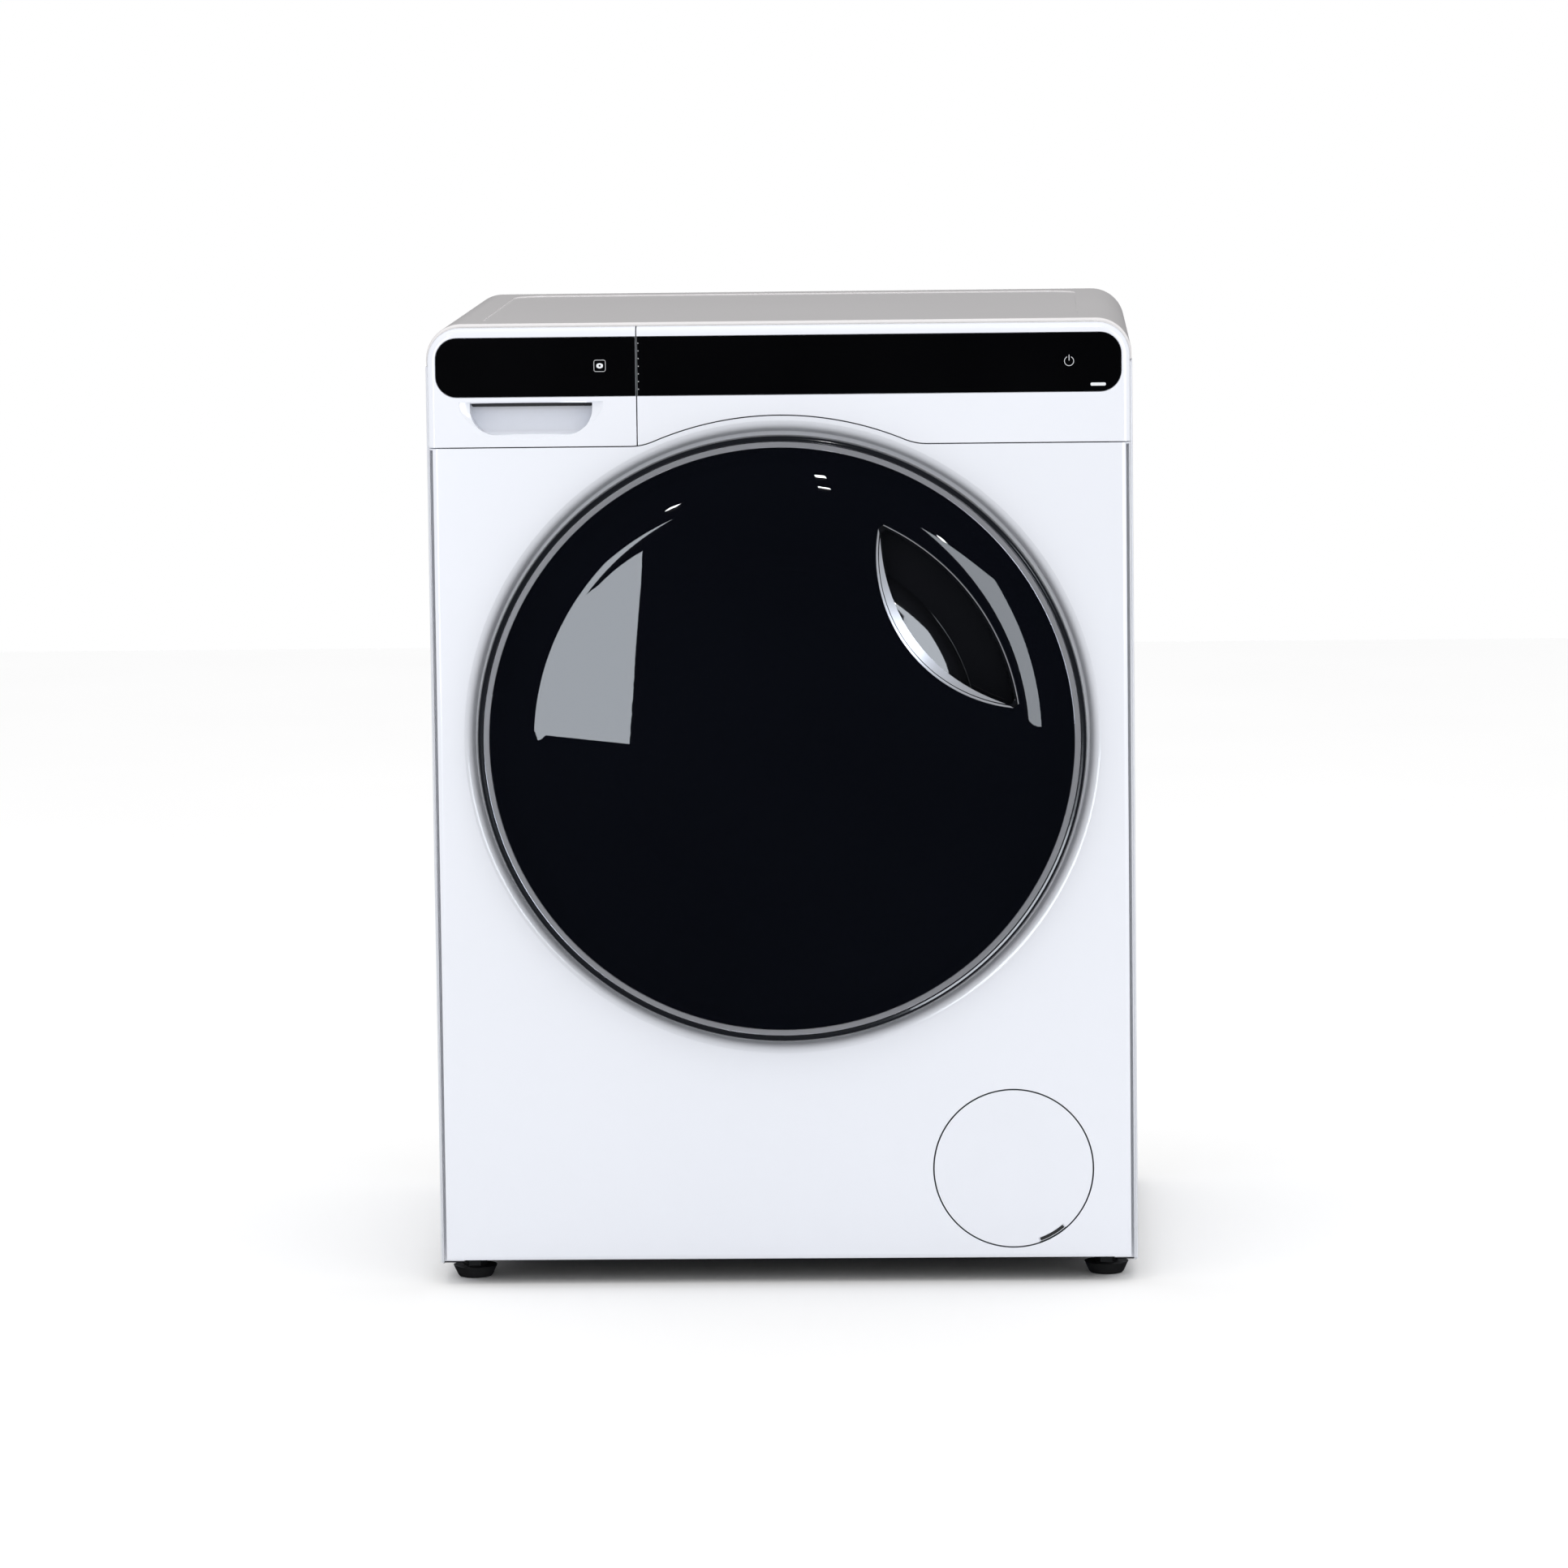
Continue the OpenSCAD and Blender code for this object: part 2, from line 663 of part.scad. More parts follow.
module front_counterweight() {
  color("darkgray") difference() {
    tube_y(0, dz, tub_r - 4, neck_r + 16, fy + 38, 35.6);
    block(-70 * k, 70 * k, fy, fy + 100, dz + 100 * k, dz + 300 * k);
  }
}

module top_counterweight() {
  color("darkgray") difference() {
    block(-92 * k, 92 * k, ym - 95, ym + 95, dz + 230 * k, dz + 305 * k);
    rod_y(0, dz, tub_r + 4.5, ym - 200, 400);
    rod_y(0, dz, tub_r + 8.5, ym - 7, 14);
  }
}

module heater() {
  color("silver") {
    for (x = [-22, 22]) rod_y(x * k, dz - 255 * k, 4, tub_y0 + 60, by - 68 - tub_y0 - 60);
    translate([0, tub_y0 + 60, dz - 255 * k]) rotate([0, 0, 180]) rotate_extrude(angle = 180)
      translate([22 * k, 0]) circle(4);
    difference() {
      block(-34 * k, 34 * k, tub_y1 + 0.2, tub_y1 + 5, dz - 263 * k, dz - 240 * k);
      for (x = [-22, 22]) rod_y(x * k, dz - 255 * k, 4.1, by - 100, 40);
    }
  }
}

module main_bearings() {
  color("silver") for (y = [by - 89, by - 70]) tube_y(0, dz, 31, shaft_r + 0.05, y, 12);
}

module motor_body() {
  color("gray") difference() {
    union() {
      rod_y(mx, mz, 56 * k, by - 204, 146);
      rod_y(mx, mz, 22, by - 60, 4);
      for (a = [0 : 20 : 359]) translate([mx, 0, mz]) rotate([0, a, 0]) {
        block(-2, 2, by - 160, by - 110, 50 * k, 56 * k + 4);
      }
    }
    rod_y(mx, mz, 8.05, by - 80, 40);
  }
}

module belt_loop(r1, r2) {
  hull() {
    translate([0, dz]) circle(r1, $fn = 72);
    translate([mx, mz]) circle(r2, $fn = 32);
  }
}

module drive_belt() {
  color([0.1, 0.1, 0.1]) ey(by - 49, 12) difference() {
    belt_loop(pulley_r + 3.6, 15.2);
    belt_loop(pulley_r + 0.5, 12.2);
  }
}

// The drum

drum_y0 = fy + 92;
drum_y1 = by - 101;
module drum_shell() {
  color("silver") turned(0, dz) polygon([[neck_r - 12, drum_y0 - 3], [neck_r - 10, drum_y0 - 3],
    [neck_r - 6, drum_y0], [drum_r - 16, drum_y0], [drum_r, drum_y0 + 16], [drum_r, drum_y1], [drum_r - 1.2, drum_y1],
    [drum_r - 1.2, drum_y0 + 16.5], [drum_r - 16.5, drum_y0 + 1.2], [neck_r - 6.6, drum_y0 + 1.2],
    [neck_r - 12, drum_y0 + 2]]);
}

module drum_back() {
  color("silver") difference() {
    union() {
      rod_y(0, dz, drum_r - 1.4, drum_y1 - 1.4, 1.2);
      difference() {
        turned(0, dz) polygon([[0, drum_y1 - 9], [60 * k, drum_y1 - 9], [90 * k, drum_y1 - 1.3], [0, drum_y1 - 1.3]]);
        turned(0, dz) polygon([[0, drum_y1 - 7.6], [59 * k, drum_y1 - 7.6], [87 * k, drum_y1], [0, drum_y1]]);
      }
      tube_y(0, dz, drum_r - 30 * k, drum_r - 36 * k, drum_y1 - 4, 3);
    }
    rod_y(0, dz, 52 * k, drum_y1 - 7, 9);
  }
}

module drum_lifters() {
  color("whitesmoke") for (a = [0, 120, 240]) translate([0, 0, dz]) rotate([0, a + 60, 0]) {
    intersection() {
      ey(drum_y0 + 20, drum_y1 - drum_y0 - 26) polygon([[-34 * k, 240 * k], [-13 * k, drum_r - 44 * k],
        [-6 * k, drum_r - 48 * k], [6 * k, drum_r - 48 * k], [13 * k, drum_r - 44 * k], [34 * k, 240 * k],
        [34 * k, drum_r], [-34 * k, drum_r]]);
      rod_y(0, 0, drum_r - 1.4, fy, case_depth);
    }
  }
}

module drum_spider() {
  color("gray") {
    rod_y(0, dz, 34, drum_y1 + 0.2, 6);
    for (a = [0, 120, 240]) translate([0, 0, dz]) rotate([0, a, 0]) {
      block(-18 * k, 18 * k, drum_y1 + 0.2, drum_y1 + 6, 10, drum_r - 6);
    }
    rod_y(0, dz, shaft_r, drum_y1 + 0.2, by - 32 - drum_y1);
  }
}

module drum_pulley() {
  color("silver") {
    difference() {
      tube_y(0, dz, pulley_r, pulley_r - 9, by - 51, 16);
      for (y = [by - 48 : 3 : by - 39]) tube_y(0, dz, pulley_r + 1, pulley_r - 1.2, y, 1.6);
    }
    tube_y(0, dz, 26, shaft_r + 0.02, by - 52, 18);
    for (a = [0 : 60 : 359]) translate([0, 0, dz]) rotate([0, a, 0]) {
      block(-7, 7, by - 47, by - 41, 22, pulley_r - 5);
    }
  }
}

module motor_pulley() {
  color("silver") {
    rod_y(mx, mz, 11.8, by - 51, 16);
    rod_y(mx, mz, 8, by - 78, 44);
  }
}

// The door

module ring_cut() {
  block(xh - 6.5, xh + 30, fy - 11, fy + 9, dz - 39, dz + 39);
  for (z = [-39, 26.5]) block(xh - 30, xh + 10, fy - 6, fy + 9, dz + z, dz + z + 12.5);
}

module door_outer_ring() {
  color("dimgray") difference() {
    turned(0, dz) translate([R, fy]) polygon([[-5.5, -12.5], [-4, -14], [-2, -14], [-0.9, -13], [0, -11.3],
      [0, -3], [-4, 1], [-5.5, 1]]);
    ring_cut();
  }
}

module door_chrome_ring() {
  color("silver") turned(0, dz) translate([R, fy]) polygon([[-10.4, -11.5], [-10.4, -13.5], [-9, -14.8],
    [-7.4, -14.8], [-5.7, -13.2], [-5.7, -11.5]]);
}

// Height of the cover's face at radius r, on a machine of full size.
function face(r) = r < 204 ? 12 * pow(r / 204, 2) : 12 + (door_bulge - 24.5) * (1 - cos(90 * min(1, (r - 204) / 36)));

function cover_pts(t) = [for (r = [0 : 12 : 204]) [r * k, face(r) - door_bulge + t],
  for (r = [208 : 4 : 240]) [r * k - t * 0.9, min(face(r) - door_bulge + t * 0.5, t - 12.5)]];

module cover_solid(t, back) {
  turned(0, dz) translate([0, fy]) polygon(concat(cover_pts(t), [[240 * k, back], [0, back]]));
}

module lens(g) {
  intersection() {
    translate([0, dz]) circle(204 * k - g);
    translate([213 * k, dz + 157 * k]) circle(131 * k - g);
  }
}

module door_cover() {
  color([0.05, 0.05, 0.06]) {
    difference() {
      cover_solid(0, -10.4);
      cover_solid(2.4, 5);
      ey(fy - 60, 80) lens(0);
    }
    turned(0, dz) translate([0, fy]) polygon([[238.5 * k, -12.5], [R - 10.6, -12.5], [R - 10.6, -10.4],
      [236 * k, -10.4]]);
  }
}

module door_handle_cup() {
  color([0.12, 0.12, 0.13]) difference() {
    intersection() {
      ey(fy - 60, 80) lens(0.3);
      difference() {
        cover_solid(0.3, -5);
        turned(0, dz) translate([0, fy]) polygon([[100 * k, -door_bulge + 16], [158 * k, -door_bulge + 17],
          [164 * k, -4], [100 * k, -4]]);
      }
    }
    intersection() {
      ey(fy - 60, 80) lens(2.6);
      turned(0, dz) translate([0, fy]) polygon([[120 * k, -door_bulge - 3], [136 * k, -door_bulge + 7.6],
        [159 * k, -door_bulge + 14], [166 * k, -7.4], [210 * k, -7.4], [210 * k, -door_bulge - 3]]);
    }
  }
}

module door_inner_frame() {
  color("whitesmoke") difference() {
    turned(0, dz) translate([0, fy]) polygon([[150 * k, 1], [150 * k, -door_bulge + 20], [154 * k, -door_bulge + 20],
      [154 * k, -1.5], [R - 9, -1.5], [R - 9, -10.2], [R - 5.8, -10.2], [R - 5.8, 1]]);
    block(xh - 7, xh + 6, fy - 20, fy + 5, dz - 39.5, dz + 39.5);
    for (z = [-39.5, 26.5]) block(xh - 7, xh + 27, fy - 20, fy + 5, dz + z, dz + z + 13);
    block(lock_x - 4.5, lock_x + 5.5, fy - 4, fy + 5, dz - 10, dz + 10);
  }
}

module door_bowl() {
  color([0.75, 0.85, 0.9, 0.4]) turned(0, dz) translate([0, fy]) polygon([[149.6 * k, -door_bulge + 20.5],
    [149.6 * k, 14], [146 * k, 40], [139 * k, 66], [124 * k, 84], [98 * k, 94], [60 * k, 97.5], [0, 98.5],
    [0, 94.5], [59 * k, 93.5], [96 * k, 90], [121 * k, 80.5], [135 * k, 64], [142 * k, 39], [145.6 * k, 13],
    [145.6 * k, -door_bulge + 20.5]]);
}

module door_hinge_leaf() {
  color("silver") difference() {
    union() {
      translate([xh, yh, dz - 26.5]) cylinder(r = 4.5, h = 53);
      block(xh, xh + 44, fy - 4.6, fy - 1.6, dz - 26, dz + 26);
    }
    translate([xh, yh, dz - 60]) cylinder(r = 2.56, h = 120);
  }
}

module door_hook() {
  color("silver") {
    difference() {
      translate([lock_x, fy - 6, dz - 9]) cylinder(r = 3.5, h = 18);
      translate([lock_x, fy - 6, dz - 10]) cylinder(r = 1.5, h = 20);
    }
    block(lock_x - 2, lock_x + 2, fy - 3.4, fy + 22, dz - 7, dz + 7);
    translate([0, 0, dz - 7]) linear_extrude(14) {
      polygon([[lock_x - 2, fy + 22], [lock_x - 2, fy + 16], [lock_x + 6, fy + 16], [lock_x + 6, fy + 18]]);
    }
  }
}

// The detergent drawer

module scoop(g) {
  intersection() {
    ey(fy - 5, 60) rounded(scoop_x - scoop_width / 2 - g, scoop_x + scoop_width / 2 + g, scoop_top - 27 - g,
      scoop_top + 40, 22 + g);
    translate([scoop_x - 90, fy - 3, scoop_top]) rotate([0, 90, 0]) cylinder(r = 27 + g, h = 180);
    block(-W, W, fy - 5, fy + 60, 0, scoop_top + g);
  }
}

module drawer_front() {
  color("white") difference() {
    union() {
      fascia_shell(-W, xs - 0.5);
      intersection() {
        scoop(2.5);
        block(-W, W, fy + 1, fy + 60, 0, height);
      }
      block(scoop_x - 40, scoop_x + 40, fy + 24, fy + 32, seam + 8, scoop_top + 2.5);
    }
    scoop(0);
    ey(fy - 1, 3.3) band(0, -W, xs + 2);
  }
}

module drawer_inlay() {
  color("black") ey(fy + 0.3, 1.9) band(0.3, -W, xs - 0.8);
}

tx0 = hx0 + 4;
tx1 = hx1 - 4;
tz0 = hz0 + 12;
tz1 = hz1 - 10;
ty0 = fy + 32;
module drawer_tray() {
  color("lightsteelblue") {
    difference() {
      block(tx0, tx1, ty0, ty0 + tray_len, tz0, tz1);
      block(tx0 + 2.2, tx0 + (tx1 - tx0) * 0.48, ty0 + 2.2, ty0 + tray_len - 2.2, tz0 + 2.2, tz1 + 5);
      block(tx0 + (tx1 - tx0) * 0.48 + 2.2, tx1 - 2.2, ty0 + 2.2, ty0 + tray_len * 0.5, tz0 + 2.2, tz1 + 5);
      block(tx0 + (tx1 - tx0) * 0.48 + 2.2, tx1 - 2.2, ty0 + tray_len * 0.5 + 2.2, ty0 + tray_len - 2.2, tz0 + 2.2, tz1 + 5);
    }
    translate([tx1 - 24, ty0 + tray_len * 0.75, tz0 + 1]) cylinder(r = 8, h = 30);
  }
}

// The service flap and the filter behind it

module filter_flap() {
  color("white") {
    difference() {
      rod_y(fx, fz, fr, fy, 2.5);
      translate([fx, 0, fz]) rotate([0, 150, 0]) block(-15, 15, fy - 1, fy + 1.6, fr - 3.5, fr + 4);
    }
    for (a = [0 : 90 : 270]) translate([fx, 0, fz]) rotate([0, a, 0]) {
      block(-7, 7, fy + 2, fy + 15, fr - 5.2, fr - 3.2);
      block(-7, 7, fy + 13, fy + 15, fr - 3.6, fr - 2.2);
    }
  }
}

module pump_filter() {
  color("steelblue") {
    rod_y(fx, fz, 33 * pk, fy + 18, 7.7);
    ey(fy + 10, 11) rounded(fx - 29 * pk, fx + 29 * pk, fz - 6, fz + 6, 5);
    rod_y(fx, fz, 26 * pk, fy + 25, 16);
    difference() {
      rod_y(fx, fz, 22 * pk, fy + 40, 44);
      rod_y(fx, fz, 18 * pk, fy + 42, 60);
      for (a = [0 : 45 : 179]) translate([fx, 0, fz]) rotate([0, a, 0]) {
        block(-4 * pk, 4 * pk, fy + 46, fy + 76, -30, 30);
      }
    }
  }
}

side_panel_left();
side_panel_right();
rear_panel();
rear_cover();
front_panel();
top_plate();
base_tray();
crossbars();
control_fascia();
display_window();
control_boards();
dispenser_housing();
inlet_valve();
inlet_hose();
fill_hose();
drain_pump();
sump_hose();
drain_hose();
pressure_switch();
door_gasket();
door_lock();
hinge_bracket();
transit_plugs();
panel_screws();
wiring_loom();
damper_cylinders();
suspension_springs();
foot_front_left();
foot_front_right();
foot_rear_left();
foot_rear_right();
tub_front();
tub_rear();
front_counterweight();
top_counterweight();
heater();
main_bearings();
motor_body();
drive_belt();
damper_rods();
drum_shell();
drum_back();
drum_lifters();
drum_spider();
drum_pulley();
motor_pulley();
door_outer_ring();
door_chrome_ring();
door_cover();
door_handle_cup();
door_inner_frame();
door_bowl();
door_hinge_leaf();
door_hook();
drawer_front();
drawer_inlay();
drawer_tray();
filter_flap();
pump_filter();
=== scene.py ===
"""The looks of a front load washing machine, built round its exact geometry. Metres, +Z up, front faces -Y."""
import json
import logging
import math
from dataclasses import dataclass
from enum import Enum
from typing import Callable, Optional, Sequence

import bpy
from mathutils import Matrix, Vector


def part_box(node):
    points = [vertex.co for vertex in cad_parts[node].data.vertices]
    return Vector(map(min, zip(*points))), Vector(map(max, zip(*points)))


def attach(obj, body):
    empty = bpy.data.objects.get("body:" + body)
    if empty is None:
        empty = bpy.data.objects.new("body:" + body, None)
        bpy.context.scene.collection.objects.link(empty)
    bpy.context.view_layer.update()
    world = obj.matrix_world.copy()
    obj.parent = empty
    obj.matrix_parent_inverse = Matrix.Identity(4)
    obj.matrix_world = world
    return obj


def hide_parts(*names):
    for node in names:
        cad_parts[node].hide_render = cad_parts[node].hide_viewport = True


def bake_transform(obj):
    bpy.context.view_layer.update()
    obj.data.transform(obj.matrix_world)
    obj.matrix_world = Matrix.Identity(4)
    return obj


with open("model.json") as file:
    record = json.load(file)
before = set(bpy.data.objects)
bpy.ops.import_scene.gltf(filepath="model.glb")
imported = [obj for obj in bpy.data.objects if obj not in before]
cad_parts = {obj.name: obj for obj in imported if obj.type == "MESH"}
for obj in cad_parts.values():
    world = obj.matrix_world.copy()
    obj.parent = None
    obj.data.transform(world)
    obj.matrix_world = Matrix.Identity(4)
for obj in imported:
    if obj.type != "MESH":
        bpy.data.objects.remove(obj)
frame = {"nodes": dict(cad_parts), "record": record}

logging.basicConfig(level=logging.INFO, format="%(message)s")
LOG = logging.getLogger("washer")
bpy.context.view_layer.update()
Point = tuple[float, float]
Point3 = tuple[float, float, float]


@dataclass(frozen=True)
class Sizes:
    """The main sizes, read from the frame so that the pieces sit where the exact ones do."""

    half: float = (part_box("side_panel_right")[1][0])
    height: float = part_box("top_plate")[1][2]
    front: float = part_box("front_panel")[0][1]
    back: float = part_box("rear_panel")[1][1]
    door_z: float = (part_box("door_outer_ring")[0][2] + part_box("door_outer_ring")[1][2]) / 2
    door_r: float = (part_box("door_outer_ring")[1][2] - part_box("door_outer_ring")[0][2]) / 2
    seam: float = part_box("control_fascia")[0][2]
    bottom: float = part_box("front_panel")[0][2]
    split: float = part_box("drawer_front")[1][0]
    bulge: float = 0.038

    @property
    def fascia_top(self) -> float:
        """Height of the fascia's upper edge."""
        return self.height - 0.003

    @property
    def band_z(self) -> Point:
        """Lower and upper edge of the dark band."""
        top = self.fascia_top - 0.008
        return top - 0.051, top


S = Sizes()


class Grain(Enum):
    """The kinds of small surface detail a finish can have."""

    ENAMEL = "enamel"
    GLOSS = "gloss"
    MOULDED = "moulded"
    RUBBER = "rubber"
    BRUSHED = "brushed"
    CAST = "cast"
    CONCRETE = "concrete"
    CHROME = "chrome"
    GLASS = "glass"
    TINT = "tint"
    BOARD = "board"


@dataclass(frozen=True)
class Finish:
    """One finish: a procedural material with colour drift, roughness drift and a fine bump.

    Args:
        name: name of the material.
        color: linear base colour.
        grain: kind of small detail.
        rough: mean roughness.
        metal: metallic share.
        coat: clear coat weight.
        drift: how far the colour moves from place to place.
        bump: strength of the bump.
    """

    name: str
    color: tuple[float, float, float]
    grain: Grain
    rough: float = 0.4
    metal: float = 0.0
    coat: float = 0.0
    drift: float = 0.04
    bump: float = 0.08

    def build(self) -> bpy.types.Material:
        """Makes the node tree, once.

        Returns:
            The material.
        """
        found = bpy.data.materials.get("finish_" + self.name)
        if found:
            return found
        mat = bpy.data.materials.new("finish_" + self.name)
        mat.use_nodes = True
        tree = mat.node_tree
        tree.nodes.clear()
        out = tree.nodes.new("ShaderNodeOutputMaterial")
        shader = tree.nodes.new("ShaderNodeBsdfPrincipled")
        tree.links.new(shader.outputs[0], out.inputs[0])
        coord = tree.nodes.new("ShaderNodeTexCoord")
        mapping = tree.nodes.new("ShaderNodeMapping")
        tree.links.new(coord.outputs["Object"], mapping.inputs["Vector"])
        scales = {
            Grain.ENAMEL: (1.0, 1.0, 1.0),
            Grain.BRUSHED: (1.0, 22.0, 1.0),
        }
        mapping.inputs["Scale"].default_value = scales.get(self.grain, (1.0, 1.0, 1.0))
        sizes = {
            Grain.ENAMEL: (2.2, 900.0),
            Grain.GLOSS: (7.0, 260.0),
            Grain.MOULDED: (9.0, 1600.0),
            Grain.RUBBER: (12.0, 900.0),
            Grain.BRUSHED: (14.0, 420.0),
            Grain.CAST: (16.0, 700.0),
            Grain.CONCRETE: (20.0, 260.0),
            Grain.CHROME: (6.0, 300.0),
            Grain.GLASS: (5.0, 120.0),
            Grain.TINT: (4.0, 60.0),
            Grain.BOARD: (60.0, 900.0),
        }
        coarse, fine = sizes[self.grain]
        slow = tree.nodes.new("ShaderNodeTexNoise")
        slow.inputs["Scale"].default_value = coarse
        slow.inputs["Detail"].default_value = 6.0
        tree.links.new(mapping.outputs[0], slow.inputs["Vector"])
        if self.grain in (Grain.CONCRETE, Grain.BOARD):
            quick = tree.nodes.new("ShaderNodeTexVoronoi")
            quick.inputs["Scale"].default_value = fine
            height = quick.outputs["Distance"]
        else:
            quick = tree.nodes.new("ShaderNodeTexNoise")
            quick.inputs["Scale"].default_value = fine
            quick.inputs["Detail"].default_value = 3.0
            height = quick.outputs[0]
        tree.links.new(mapping.outputs[0], quick.inputs["Vector"])
        ramp = tree.nodes.new("ShaderNodeValToRGB")
        low, high = 1.0 - self.drift, 1.0 + self.drift
        ramp.color_ramp.elements[0].position = 0.3
        ramp.color_ramp.elements[1].position = 0.7
        ramp.color_ramp.elements[0].color = (*[min(1.0, c * low) for c in self.color], 1.0)
        ramp.color_ramp.elements[1].color = (*[min(1.0, c * high) for c in self.color], 1.0)
        tree.links.new(slow.outputs[0], ramp.inputs[0])
        tree.links.new(ramp.outputs[0], shader.inputs["Base Color"])
        spread = tree.nodes.new("ShaderNodeMapRange")
        spread.inputs["From Min"].default_value = 0.3
        spread.inputs["From Max"].default_value = 0.7
        sway = 0.02 if self.grain is Grain.ENAMEL else 0.2
        spread.inputs["To Min"].default_value = max(0.0, self.rough * (1.0 - sway))
        spread.inputs["To Max"].default_value = min(1.0, self.rough * (1.0 + sway))
        tree.links.new(slow.outputs[0], spread.inputs["Value"])
        tree.links.new(spread.outputs[0], shader.inputs["Roughness"])
        bump = tree.nodes.new("ShaderNodeBump")
        bump.inputs["Strength"].default_value = self.bump
        bump.inputs["Distance"].default_value = 0.0003
        tree.links.new(height, bump.inputs["Height"])
        tree.links.new(bump.outputs[0], shader.inputs["Normal"])
        shader.inputs["Metallic"].default_value = self.metal
        shader.inputs["Coat Weight"].default_value = self.coat
        shader.inputs["Coat Roughness"].default_value = 0.03
        if self.grain in (Grain.GLASS, Grain.TINT):
            shader.inputs["Alpha"].default_value = 0.22 if self.grain is Grain.GLASS else 0.91
            shader.inputs["IOR"].default_value = 1.5
        mat.diffuse_color = (*self.color, 1.0)
        return mat


